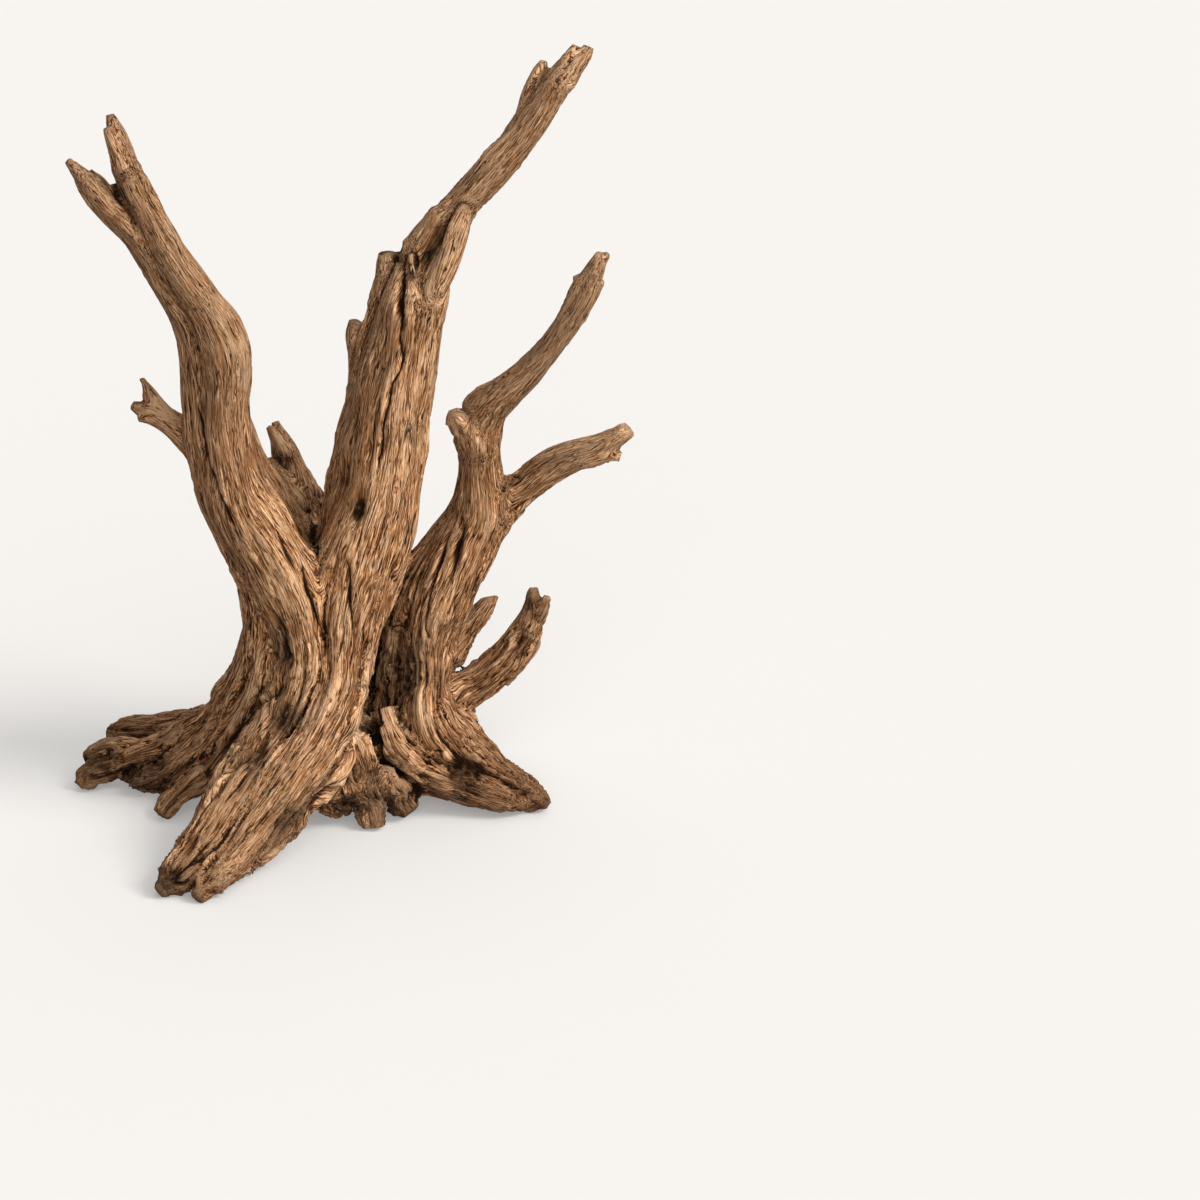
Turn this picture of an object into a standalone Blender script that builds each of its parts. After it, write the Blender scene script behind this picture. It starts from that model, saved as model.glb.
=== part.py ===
"""A piece of driftwood: the weathered root crown of a small tree, with the stubs of its limbs.

The wood is described as strands. Each strand is a smooth route from the ground upwards, with the
radius of the wood round it, and the strands run into one another as the grain of the real piece
does: a root goes on through the crown and becomes a limb. Round tubes along the routes are fused
by a voxel remesh, and the fused skin is settled onto the blended surface of all the strands, with
weathered ridges, hollows and splits raised or sunk along the grain.

Units in the tables are millimetres, +X right, +Y back, +Z up, with the floor at Z = 0.
"""

import itertools

import bmesh
import bpy
import numpy as np

MM = 0.001

# Driving dimensions
SKIN_VOXEL = 2.4  # size of the voxels that fuse the strands
SKIN_TRIANGLES = 11600  # triangles left on the finished skin
ROUTE_STEP = 3.0  # distance between two samples of a route
NECK_HEIGHT = 108.0  # height at which the grain of all the roots runs together
FOOT_DEPTH = 2.4  # how far the feet are worn flat
MIDDLE = (11.9, -10.8)  # middle of the whole piece in the tables, which becomes the origin

# How the strands melt into one another
BLEND_SHARE = 0.17  # blending distance as a share of the local radius
BLEND_LEAST, BLEND_MOST = 0.6, 3.6
GRAIN_BLEND = 1.6  # distance over which one strand's grain passes into the next

# Each row is x, y, z, radius, from the ground end to the top end
STRANDS = {
    # roots that run through the crown and become limbs
    "front_root_to_middle_limb": [
        (-54, -116, 6, 3.5), (-47, -104, 9, 9), (-37, -86, 14, 12), (-24, -70, 26, 14),
        (-11, -55, 39, 15.5), (1, -42, 53, 16), (9, -28, 70, 16), (11, -20, 87, 17),
        (13, -14, 106, 20.5), (18, -8, 125, 21), (24, -4, 144, 21), (30, 0, 163, 20),
        (33, 3, 180, 19.5), (36, 6, 199, 18), (39, 8, 218, 18), (43, 10, 238, 16),
        (46, 12, 255, 15.5), (50, 14, 269, 14), (58, 17, 282, 11.5), (70, 22, 298, 8.5),
        (86, 27, 315, 8.5), (99, 31, 330, 8), (110, 35, 346, 7.5), (118, 38, 358, 6),
        (122, 40, 366, 3.5), (124, 41, 370, 1.5),
    ],
    "front_root_to_left_limb": [
        (-71, -111, 7, 4), (-64, -102, 10, 10), (-51, -82, 18, 13.5), (-38, -61, 31, 15),
        (-23, -42, 47, 15.5), (-10, -28, 64, 15), (-5, -21, 83, 15), (-8, -17, 102, 16),
        (-14, -14, 122, 18.5), (-24, -10, 141, 17.5), (-35, -8, 161, 15), (-40, -7, 181, 12),
        (-42, -6, 204, 12), (-41, -5, 226, 12), (-42, -8, 245, 12), (-50, -12, 264, 9),
        (-62, -16, 286, 8), (-71, -20, 308, 7.5), (-77, -24, 325, 7), (-80, -27, 338, 5.5),
        (-82, -29, 350, 3.5), (-84, -30, 358, 1.5),
    ],
    "left_root_to_left_limb": [
        (-101, -3, 8, 4), (-93, -3, 9, 8.5), (-79, -1, 14, 10.5), (-62, 0, 24, 11.5),
        (-47, 1, 42, 12), (-35, 0, 61, 12), (-28, -2, 87, 10.5), (-28, -4, 112, 10.5),
        (-35, -4, 136, 12.5), (-45, -2, 159, 12), (-49, 0, 181, 11), (-51, 0, 209, 12),
        (-51, 0, 232, 12), (-57, -6, 253, 9), (-67, -12, 275, 7.5), (-77, -20, 297, 6.5),
        (-87, -26, 313, 6), (-94, -30, 324, 5.5), (-99, -32, 332, 3.5), (-103, -34, 338, 1.5),
    ],
    "right_root_to_right_limb": [
        (109, -28, 7, 3.5), (102, -24, 9, 7), (88, -18, 13, 11), (72, -13, 20, 16),
        (60, -10, 32, 19), (52, -8, 47, 16.5), (52, 0, 61, 11), (53, 8, 79, 13.5),
        (58, 12, 97, 16.5), (64, 15, 113, 15.5), (70, 18, 127, 15), (76, 20, 141, 13.5),
        (77, 20, 154, 12), (76, 19, 171, 10), (76, 18, 184, 10.5), (80, 17, 197, 9.5),
        (90, 14, 208, 8), (102, 10, 221, 7), (112, 6, 234, 6.5), (121, 2, 250, 6.5),
        (128, -2, 265, 6.5), (133, -4, 277, 4.5), (135, -5, 284, 2.5),
    ],
    "back_left_root": [
        (-55, 92, 5, 5), (-49, 82, 9, 9), (-41, 64, 23, 12), (-32, 45, 42, 14),
        (-23, 28, 66, 16), (-16, 20, 95, 17), (-18, 16, 125, 16), (-27, 12, 150, 14),
        (-38, 8, 175, 12), (-45, 6, 205, 10), (-46, 4, 235, 9), (-50, 0, 258, 7),
    ],
    "back_middle_root": [
        (2, 78, 6, 6), (4, 70, 11, 10), (6, 60, 24, 13), (8, 46, 40, 15),
        (11, 34, 64, 18), (16, 24, 96, 20), (22, 20, 126, 18), (28, 20, 160, 16),
        (34, 21, 195, 14), (39, 22, 225, 12), (46, 23, 255, 10), (56, 25, 278, 8),
    ],
    "back_right_root": [
        (66, 84, 4, 4), (61, 75, 8, 8), (53, 58, 21, 12), (47, 40, 42, 15),
        (46, 28, 68, 16), (52, 27, 95, 15), (62, 28, 120, 13), (72, 28, 142, 10),
        (77, 26, 165, 8),
    ],
    # the heart of the crown, between the roots
    "crown_front": [(-12, -24, 24, 14.5), (2, -10, 25, 19), (18, 0, 25, 17)],
    "crown_back": [(-16, 20, 34, 18), (8, 24, 32, 20), (34, 20, 32, 18)],
    # middle limb: its left half, a broken shoulder, a stub and the splinters of its tip
    "middle_limb_left": [
        (-1, 8, 101, 7), (3, 12, 121, 10), (10, 14, 141, 12.5), (16, 14, 162, 13.5),
        (21, 14, 183, 12.5), (25, 13, 204, 11.5), (29, 12, 230, 9.5), (35, 12, 250, 8.5),
        (38, 13, 265, 7), (37, 13, 273, 4.5), (36, 13, 278, 2.5),
    ],
    "middle_limb_stub": [
        (19, 22, 185, 7), (20, 20, 207, 6), (20, 18, 223, 5), (19, 16, 236, 4.5),
        (19, 15, 243, 3),
    ],
    "middle_limb_knob": [(43, 8, 257, 6.5), (44, 8, 269, 5.5), (45, 9, 278, 3.5), (46, 9, 281, 2)],
    "middle_tip_splinter": [
        (92, 32, 321, 5.5), (99, 36, 336, 5), (103, 40, 348, 4.5), (107, 43, 357, 3.5),
        (109, 44, 362, 1.5),
    ],
    "middle_tip_right": [(119, 36, 355, 6), (124, 37, 362, 5), (128, 38, 366, 3.5), (130, 39, 370, 2)],
    "middle_back_stub": [(44, 28, 205, 9), (50, 40, 219, 7), (54, 47, 230, 4.5), (56, 50, 236, 2)],
    # left limb: splinters of its tip and the forked twig on its side
    "left_tip_small": [(-87, -22, 318, 4), (-93, -20, 325, 3), (-96, -19, 329, 1.5)],
    "left_tip_beside": [(-80, -31, 335, 3.5), (-83, -33, 346, 2.5), (-85, -34, 353, 1.5)],
    "twig": [
        (-57, 6, 180, 6.5), (-64, 10, 188, 7), (-72, 12, 194, 6), (-78, 13, 198, 5.5),
        (-84, 14, 199, 4), (-89, 15, 201, 2),
    ],
    "twig_upper": [(-76, 14, 199, 4.5), (-80, 16, 205, 4), (-82, 17, 210, 2.5), (-84, 17, 214, 1.5)],
    "twig_lower": [(-76, 12, 195, 4.5), (-82, 11, 196, 3), (-86, 10, 196, 1.5)],
    # broken stump behind the crotch
    "stump": [
        (-10, 26, 123, 14), (-13, 40, 134, 11.5), (-16, 48, 148, 9), (-20, 52, 160, 6.5),
        (-23, 54, 169, 4), (-25, 55, 176, 2),
    ],
    "stump_side": [(-18, 36, 140, 10), (-24, 40, 151, 6), (-27, 42, 159, 3.5), (-28, 42, 162, 2)],
    "stump_peak": [(-21, 48, 164, 4.5), (-26, 50, 173, 2.5), (-28, 50, 176, 1.5)],
    "stump_web": [(9, 36, 121, 13), (-1, 44, 131, 11), (-5, 46, 138, 6.5), (-5, 46, 142, 3)],
    # right limb: its fork, knob, splinters, and the horn and spur low on its back
    "right_fork": [
        (62, 22, 108, 10), (75, 24, 131, 11), (87, 24, 145, 10), (100, 22, 157, 8.5),
        (112, 18, 168, 8), (123, 14, 175, 7), (135, 10, 181, 6), (142, 8, 187, 4.5),
        (146, 7, 192, 2.5),
    ],
    "right_fork_tip": [(135, 8, 182, 4), (144, 6, 187, 3), (150, 5, 191, 2)],
    "right_fork_low": [(130, 10, 176, 5), (139, 8, 178, 3.5), (145, 7, 177, 2)],
    "right_knob": [(75, 16, 182, 8.5), (70, 14, 190, 7), (66, 13, 196, 5), (65, 13, 199, 2.5)],
    "right_tip_side": [(125, 3, 251, 4.5), (131, 1, 262, 3.5), (135, 0, 268, 2)],
    "right_tip_bump": [(127, 0, 263, 4), (125, 2, 271, 3)],
    "right_tip_right": [(134, -4, 276, 3), (137, -5, 281, 2.5), (139, -5, 284, 1.5)],
    "right_inner": [(35, 22, 73, 10), (42, 22, 95, 13), (51, 22, 115, 11), (59, 24, 128, 7)],
    "horn": [
        (55, 10, 39, 12), (63, 20, 43, 11), (73, 26, 46, 9), (85, 30, 55, 8.5),
        (94, 32, 66, 8.5), (100, 33, 78, 7), (102, 33, 88, 4.5), (102, 33, 96, 2),
    ],
    "horn_tip": [(100, 30, 77, 5), (105, 30, 84, 4), (108, 30, 90, 2.5), (109, 30, 93, 1.5)],
    "spur": [(60, 38, 57, 8), (68, 44, 67, 5.5), (75, 48, 75, 5), (80, 50, 81, 3.5), (83, 51, 84, 1.5)],
    # right root
    "right_root_low": [
        (96, -30, 7, 3.5), (86, -29, 10, 6), (69, -26, 15, 7.5), (49, -24, 22, 11),
        (35, -22, 34, 10), (30, -19, 43, 8), (27, -14, 52, 6),
    ],
    "rotten_core": [(36, -6, 20, 12), (35, 0, 39, 12), (36, 6, 58, 11), (38, 12, 77, 9)],
    # left roots
    "left_groove_root": [
        (-79, -22, 6, 4), (-73, -16, 9, 7.5), (-60, -15, 19, 9), (-47, -15, 33, 9.5),
        (-36, -14, 49, 9.5), (-27, -14, 68, 9), (-23, -10, 88, 8.5), (-22, -8, 109, 8),
    ],
    "left_back_root": [
        (-115, 40, 13, 4.5), (-107, 37, 14, 7), (-93, 32, 18, 8), (-77, 26, 24, 8),
        (-60, 18, 32, 7.5), (-45, 10, 48, 8), (-37, 6, 65, 6.5),
    ],
    "left_middle_root": [
        (-125, -3, 8, 3.5), (-119, -1, 11, 6), (-108, 1, 13, 8), (-94, 0, 18, 8.5),
        (-79, 4, 22, 10), (-62, 6, 28, 12), (-47, 8, 38, 11),
    ],
    "left_middle_nub": [(-123, 9, 13, 3), (-116, 9, 15, 5), (-105, 8, 16, 6), (-90, 7, 18, 6)],
    "left_shoulder": [(-52, 2, 41, 7), (-49, 4, 49, 7.5), (-46, 5, 58, 5), (-46, 5, 63, 2.5)],
    "left_foot": [(-80, -35, 5, 4.5), (-77, -31, 8, 6), (-72, -28, 12, 6), (-62, -22, 17, 7)],
    # small roots under the front of the crown and at its back
    "under_foot": [
        (25, -43, 3, 5), (24, -41, 9, 6.5), (21, -37, 17, 8), (17, -33, 28, 10),
        (12, -28, 40, 11),
    ],
    "under_foot_right": [(43, -34, 7, 5), (40, -32, 10, 7), (35, -26, 15, 9), (29, -20, 22, 11)],
    "under_lump": [(9, -38, 13, 6), (5, -37, 16, 8.5), (1, -34, 24, 11)],
    "under_web": [(-6, -45, 27, 9), (8, -38, 24, 9), (20, -34, 22, 8.5), (36, -28, 20, 8)],
    "front_flank": [
        (8, -44, 44, 9), (0, -54, 33, 10), (-8, -63, 24, 10), (-15, -69, 18, 10),
        (-22, -78, 13, 8), (-28, -86, 9, 5),
    ],
    "back_rootlet": [
        (28, 94, 3, 3), (24, 88, 6, 5), (22, 74, 15, 7), (16, 60, 26, 9), (12, 48, 38, 9),
    ],
    "back_burl": [(-14, 52, 22, 9), (-24, 56, 26, 12), (-32, 62, 24, 8)],
}

# Hollows and pits: place, half length along the grain, half width, depth
HOLLOWS = [
    ((57, 6, 285), 15, 4, 6),  # pit on the knee of the middle limb
    ((19, -19, 161), 6, 4, 5),
    ((-34, -16, 249), 6, 4, 3),
    ((8, -38, 87), 6, 4, 5),
    ((-19, -47, 64), 8, 6, 6),  # rotted hollows along the front root
    ((-30, -57, 53), 10, 6, 5),
    ((-11, -75, 22), 12, 7, 8),
    ((-66, -112, 12), 9, 4, 7),  # notch between the two lobes of its tip
    ((70, -30, 25), 13, 5, 7),  # hollow in the right root
    ((50, -31, 15), 10, 4, 4),
    ((37, -4, 66), 14, 6, 5),  # rotten heart beside the trunk
    ((-20, -29, 98), 16, 5, 5),  # dark fold on the trunk's left
    ((96, 26, 66), 8, 4, 3),
    ((20, 48, 150), 20, 6, 5),
    ((40, 36, 190), 18, 5, 5),
    ((-52, 14, 215), 14, 5, 4),
]

# Splits: half width, depth, and the places that they run through
SPLITS = [
    (3.5, 4.5, [
        (42, 6, 279), (42, -3, 260), (42, -6, 239), (42, -8, 229), (37, -11, 221),
        (36, -11, 214), (33, -13, 202), (32, -15, 190), (29, -18, 176),
    ]),
    (4.0, 4.0, [(-12, -41, 74), (-17, -45, 67), (-25, -53, 58), (-32, -64, 48), (-44, -80, 34)]),
    (4.5, 6.0, [(31, 0, 67), (27, -6, 50), (26, -26, 41), (28, -27, 30)]),
    (4.0, 4.0, [(-16, -31, 88), (-22, -35, 71), (-42, -23, 44), (-56, -23, 26)]),
    (3.5, 3.5, [(69, 10, 145), (66, 4, 128), (62, -1, 112)]),
    (3.5, 3.5, [(56, -26, 42), (66, -29, 34), (80, -28, 22)]),
    (3.5, 3.5, [(26, 38, 110), (28, 37, 150), (34, 36, 190), (39, 33, 225)]),
    (3.5, 3.5, [(-22, 33, 80), (-25, 30, 120), (-36, 22, 160)]),
    (3.5, 3.5, [(60, 42, 80), (68, 40, 112), (78, 36, 140)]),
]

# Weathered ridges: cell across the grain, cell along it, height, seed
RIDGES = [
    (15.0, 90.0, 3.2, 1),
    (8.0, 60.0, 2.0, 2),
]
LUMP_CELL, LUMP_HEIGHT = 22.0, 1.6  # slow swelling all over the wood
LATTICE_SIZE = 64
LATTICE = np.random.default_rng(11).uniform(-1, 1, (LATTICE_SIZE,) * 3)

WOOD_COLOUR = (0.36, 0.22, 0.13, 1)
WOOD_ROUGHNESS = 0.85


def unit(vectors):
    """The vectors at length 1."""
    return vectors / np.maximum(np.linalg.norm(vectors, axis=-1, keepdims=True), 1e-9)


def smooth_route(points):
    """Rows of x, y, z, radius every ROUTE_STEP along a Catmull-Rom curve through the points."""
    rows = np.array(points, float)
    rows = np.vstack([2 * rows[0] - rows[1], rows, 2 * rows[-1] - rows[-2]])
    t = np.linspace(0, 1, 12, endpoint=False)[:, None]
    curve = [
        0.5 * (2 * b + (c - a) * t + (2 * a - 5 * b + 4 * c - d) * t**2 + (3 * b - a - 3 * c + d) * t**3)
        for a, b, c, d in zip(rows, rows[1:], rows[2:], rows[3:])
    ]
    curve = np.vstack([*curve, rows[-2:-1]])
    along = np.append(0, np.cumsum(np.linalg.norm(np.diff(curve[:, :3], axis=0), axis=1)))
    even = np.linspace(0, along[-1], max(3, round(along[-1] / ROUTE_STEP) + 1))
    return np.column_stack([np.interp(even, along, column) for column in curve.T]), even


class Strand:
    """One strand of wood: its route, and the directions of its grain along it.

    Grain coordinates are two distances across the grain and one along it, as if the whole tree
    were unbent into a straight pole. A strand carries on the coordinates of the wood it is rooted in.
    """

    def __init__(self, points, earlier):
        route, self.along = smooth_route(points)
        self.centre, self.radius = route[:, :3], route[:, 3]
        self.slope = np.gradient(self.radius, self.along)
        self.tangent = unit(np.gradient(self.centre, axis=0))
        self.low = self.centre.min(0) - self.radius.max()
        self.high = self.centre.max(0) + self.radius.max()
        through = self.centre[0, 2] < NECK_HEIGHT < self.centre[-1, 2]
        if through or not earlier:
            home = int(np.argmin(abs(self.centre[:, 2] - NECK_HEIGHT)))
            side, self.grain_home = np.array([1.0, 0, 0]), np.append(self.centre[home, :2], 0)
        else:
            wood = wood_at(self.centre, earlier)
            home = int(np.argmin(wood["distance"]))
            side, self.grain_home = wood["side"][home], wood["grain"][home]
        self.home = home
        self.side = np.zeros_like(self.centre)
        self.carry(side, range(home, len(self.centre)))
        self.carry(side, range(home, -1, -1))

    def carry(self, side, samples):
        """Carries the direction across the grain along the samples without twisting it."""
        for i in samples:
            side = unit(side - self.tangent[i] * (side @ self.tangent[i]))
            self.side[i] = side

    def near(self, points):
        """Distance to the strand's own surface, way out, side direction, radius and grain."""
        gap = (self.centre**2).sum(1) - 2 * points @ self.centre.T
        i = gap.argmin(1)
        tangent = self.tangent[i]
        step = ((points - self.centre[i]) * tangent).sum(1)
        step = np.where(i == 0, np.maximum(step, 0), step)
        step = np.where(i == len(self.centre) - 1, np.minimum(step, 0), step)
        step = np.clip(step, -ROUTE_STEP, ROUTE_STEP)
        out = points - self.centre[i] - tangent * step[:, None]
        radius = self.radius[i] + self.slope[i] * step
        side = self.side[i]
        other = np.cross(tangent, side)
        across = np.stack([(out * side).sum(1), (out * other).sum(1)], 1)
        length = self.along[i] + step - self.along[self.home]
        return {
            "distance": np.linalg.norm(out, axis=1) - radius,
            "out": unit(out),
            "side": side,
            "radius": radius,
            "grain": np.column_stack([across, length]) + self.grain_home,
        }


def wood_at(points, strands, reach=14.0):
    """The blended surface of all the strands seen from the points: distance, way out, radius, grain."""
    found, least = [], np.full(len(points), 1e3)
    for strand in strands:
        close = ((points > strand.low - reach) & (points < strand.high + reach)).all(1)
        index = np.flatnonzero(close)
        if len(index):
            here = strand.near(points[index])
            least[index] = np.minimum(least[index], here["distance"])
            found.append((index, here))

    def mean(key, width):
        """Mean of a value over the strands, each weighed by how near it is, and the weights' sum."""
        width = np.broadcast_to(width, least.shape)
        total, weights = None, np.full(len(points), 1e-12)
        for index, here in found:
            weight = np.exp((least[index] - here["distance"]) / width[index])
            value = here[key] if here[key].ndim > 1 else here[key][:, None]
            if total is None:
                total = np.zeros((len(points), value.shape[1]))
            total[index] += value * weight[:, None]
            weights[index] += weight
        return total / weights[:, None], weights

    radius = mean("radius", GRAIN_BLEND)[0][:, 0]
    blend = np.clip(BLEND_SHARE * radius, BLEND_LEAST, BLEND_MOST)
    out, weights = mean("out", blend)
    return {
        "distance": least - blend * np.log(weights),
        "out": out,
        "radius": radius,
        "side": unit(mean("side", GRAIN_BLEND)[0]),
        "grain": mean("grain", GRAIN_BLEND)[0],
    }


def noise(grain, across, along, seed):
    """Smooth random values from -1 to 1 in cells drawn out along the grain."""
    place = grain / (across, across, along) + 17.3 * seed
    cell = np.floor(place).astype(int)
    share = place - cell
    share = share * share * (3 - 2 * share)
    total = 0
    for corner in itertools.product((0, 1), repeat=3):
        weight = np.where(corner, share, 1 - share).prod(1)
        total = total + weight * LATTICE[tuple(((cell + corner) % LATTICE_SIZE).T)]
    return total


def relief_height(points, wood, sunk):
    """Height of the weathered surface over the smooth wood, from the ridges down to the splits."""
    slim = np.clip(wood["radius"] / 14, 0.25, 1)
    height = LUMP_HEIGHT * slim * noise(points, LUMP_CELL, LUMP_CELL, 5)
    for across, along, size, seed in RIDGES:
        crest = 1 - 2 * abs(noise(wood["grain"], across, along, seed)) ** 0.7
        height -= size * slim * crest * 0.5
    for centre, length, width, depth in sunk["hollows"]:
        apart = (wood["grain"] - centre) / (width, width, length)
        height -= depth * np.exp(-np.minimum((apart**2).sum(1), 20))
    for route, width, depth in sunk["splits"]:
        close = np.flatnonzero((abs(points - route.mean(0)) < np.ptp(route, 0) / 2 + 2 * width).all(1))
        gap = np.linalg.norm(points[close, None] - route[None], axis=2).min(1)
        height[close] -= depth * np.clip(1 - (gap / width) ** 2, 0, 1)
    return height


def sunk_features(strands):
    """The hollows by their grain coordinates, and the splits as close rows of points."""
    places = np.array([place for place, *_ in HOLLOWS], float)
    centres = wood_at(places, strands)["grain"]
    hollows = [(centre, *sizes) for centre, (_, *sizes) in zip(centres, HOLLOWS)]
    splits = []
    for width, depth, places in SPLITS:
        route, _ = smooth_route([(*place, 0) for place in places])
        splits.append((route[:, :3], width, depth))
    return {"hollows": hollows, "splits": splits}


def tube(name, strand):
    """A round tube along a strand's route, as a curve with a radius at each sample."""
    curve = bpy.data.curves.new(name, "CURVE")
    curve.dimensions = "3D"
    curve.bevel_depth = MM
    curve.bevel_resolution = 3
    curve.use_fill_caps = True
    spline = curve.splines.new("POLY")
    spline.points.add(len(strand.centre) - 1)
    for point, centre, radius in zip(spline.points, strand.centre, strand.radius):
        point.co = (*(centre * MM), 1)
        point.radius = max(radius, SKIN_VOXEL * 0.6)
    made = bpy.data.objects.new(name, curve)
    bpy.context.scene.collection.objects.link(made)
    return made


def evaluated_mesh(thing):
    """The mesh of an object as its modifiers leave it."""
    graph = bpy.context.evaluated_depsgraph_get()
    return bpy.data.meshes.new_from_object(thing.evaluated_get(graph))


def fused_skin(strands):
    """One closed mesh round all the tubes."""
    bm = bmesh.new()
    for name, strand in strands.items():
        rough = tube(name, strand)
        mesh = evaluated_mesh(rough)
        bm.from_mesh(mesh)
        bpy.data.meshes.remove(mesh)
        curve = rough.data
        bpy.data.objects.remove(rough)
        bpy.data.curves.remove(curve)
    bmesh.ops.remove_doubles(bm, verts=bm.verts, dist=0.01 * MM)
    mesh = bpy.data.meshes.new("driftwood")
    bm.to_mesh(mesh)
    bm.free()
    skin = bpy.data.objects.new("driftwood", mesh)
    bpy.context.scene.collection.objects.link(skin)
    remesh = skin.modifiers.new("fuse", "REMESH")
    remesh.mode = "VOXEL"
    remesh.voxel_size = SKIN_VOXEL * MM
    skin.data = evaluated_mesh(skin)
    skin.modifiers.clear()
    return skin


def vertices_of(mesh):
    """Vertex positions in millimetres."""
    flat = np.empty(len(mesh.vertices) * 3, np.float32)
    mesh.vertices.foreach_get("co", flat)
    return flat.reshape(-1, 3).astype(float) / MM


def set_vertices(mesh, points):
    """Moves the vertices to the positions, in millimetres."""
    mesh.vertices.foreach_set("co", (points * MM).astype(np.float32).ravel())
    mesh.update()


def relaxed(points, edges):
    """Each point half way to the mean of its neighbours."""
    total, count = np.zeros_like(points), np.zeros(len(points))
    for a, b in ((0, 1), (1, 0)):
        np.add.at(total, edges[:, a], points[edges[:, b]])
        np.add.at(count, edges[:, a], 1)
    return (points + total / count[:, None]) / 2


def shape_skin(mesh, strands, rounds=4):
    """Settles the skin onto the blended strands, then raises the relief along the grain."""
    edges = np.empty(len(mesh.edges) * 2, np.int32)
    mesh.edges.foreach_get("vertices", edges)
    edges = edges.reshape(-1, 2)
    points = vertices_of(mesh)
    sunk = sunk_features(strands)
    for _ in range(rounds):
        points = relaxed(points, edges)
        wood = wood_at(points, strands)
        push = np.clip(wood["distance"] - relief_height(points, wood, sunk), -SKIN_VOXEL, SKIN_VOXEL)
        points -= push[:, None] * unit(wood["out"])
    set_vertices(mesh, points)


def thin_out(skin):
    """Leaves SKIN_TRIANGLES triangles, spent where the surface bends most."""
    skin.data.calc_loop_triangles()
    decimate = skin.modifiers.new("thin_out", "DECIMATE")
    decimate.ratio = SKIN_TRIANGLES / len(skin.data.loop_triangles)
    decimate.use_collapse_triangulate = True
    skin.data = evaluated_mesh(skin)
    skin.modifiers.clear()


def stand_on_floor(mesh):
    """Wears the feet flat at FOOT_DEPTH and puts the origin under the middle of the whole piece."""
    bm = bmesh.new()
    bm.from_mesh(mesh)
    floor = FOOT_DEPTH * MM
    cut = bmesh.ops.bisect_plane(
        bm,
        geom=[*bm.verts, *bm.edges, *bm.faces],
        plane_co=(0, 0, floor),
        plane_no=(0, 0, 1),
        dist=1e-6,
        clear_inner=True,
    )
    rim = [e for e in cut["geom_cut"] if isinstance(e, bmesh.types.BMEdge)]
    soles = bmesh.ops.edgeloop_fill(bm, edges=rim)["faces"]
    bmesh.ops.triangulate(bm, faces=soles)
    bmesh.ops.recalc_face_normals(bm, faces=bm.faces)
    bmesh.ops.translate(bm, verts=bm.verts, vec=(-MIDDLE[0] * MM, -MIDDLE[1] * MM, -floor))
    bm.to_mesh(mesh)
    bm.free()


def wood_material():
    """Bare, dry, grey-brown wood."""
    material = bpy.data.materials.new("weathered_wood")
    material.use_nodes = True
    shader = material.node_tree.nodes["Principled BSDF"]
    shader.inputs["Base Color"].default_value = WOOD_COLOUR
    shader.inputs["Roughness"].default_value = WOOD_ROUGHNESS
    shader.inputs["Metallic"].default_value = 0
    return material


def main():
    """Builds the one piece of wood."""
    for thing in list(bpy.data.objects):
        bpy.data.objects.remove(thing)
    strands = {}
    for name, points in STRANDS.items():
        strands[name] = Strand(points, list(strands.values()))
    skin = fused_skin(strands)
    shape_skin(skin.data, list(strands.values()))
    thin_out(skin)
    stand_on_floor(skin.data)
    skin.data.materials.append(wood_material())
    skin.data.shade_smooth()
    pieces = bpy.data.collections.new("driftwood")
    bpy.context.scene.collection.children.link(pieces)
    bpy.context.scene.collection.objects.unlink(skin)
    pieces.objects.link(skin)


main()
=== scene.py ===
# %% [markdown]
# # A piece of driftwood
#
# This scene dresses one packed part: the root crown of a small tree, washed bare by water and
# dried until the grain stands up in ridges. The packed solid has its true size and its main forms.
# Here it gets its skin: finer ridges, drying cracks, torn tips and the colours of weathered wood.
# The look is built from the way wood grows, so the grain comes first and everything follows it.

# %% Load the packed part
import itertools
import math
import time

import bmesh
import bpy
import numpy as np
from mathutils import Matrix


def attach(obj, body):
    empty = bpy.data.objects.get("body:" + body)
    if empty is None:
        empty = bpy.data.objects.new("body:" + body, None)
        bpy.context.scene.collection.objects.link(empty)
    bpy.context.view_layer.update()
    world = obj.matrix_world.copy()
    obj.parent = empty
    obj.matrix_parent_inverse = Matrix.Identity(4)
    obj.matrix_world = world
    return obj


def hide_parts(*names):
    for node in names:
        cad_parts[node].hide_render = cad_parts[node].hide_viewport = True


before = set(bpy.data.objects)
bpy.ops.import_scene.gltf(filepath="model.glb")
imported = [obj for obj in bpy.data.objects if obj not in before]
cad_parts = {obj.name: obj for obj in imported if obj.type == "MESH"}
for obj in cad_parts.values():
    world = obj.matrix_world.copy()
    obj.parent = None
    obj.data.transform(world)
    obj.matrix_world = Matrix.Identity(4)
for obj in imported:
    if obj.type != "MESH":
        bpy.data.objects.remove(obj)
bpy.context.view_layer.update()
started = time.time()

# %% [markdown]
# ## Camera
#
# The photograph was taken from a little above the wood, with a long lens from some distance, so
# upright limbs stay nearly parallel. A camera could be placed by eye, but four facts fix it here:
# the lens, the angle down, the size of a pixel at the trunk and the pixel where the trunk's foot
# is. The wood then stands in the same part of the picture as in the photograph.

# %% Place the camera
MM = 0.001
PHOTO_PIXELS = 1200
LENS, SENSOR = 100.0, 36.0
CAMERA_ANGLE = math.radians(25)
PIXEL_SIZE = 0.5 * MM
TRUNK_PIXEL = (330, 790)
NEAREST, FARTHEST = 0.1, 100
MIDDLE = np.array([11.9, -10.8, 2.4])  # the packed origin, in the millimetres of the tables below

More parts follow.
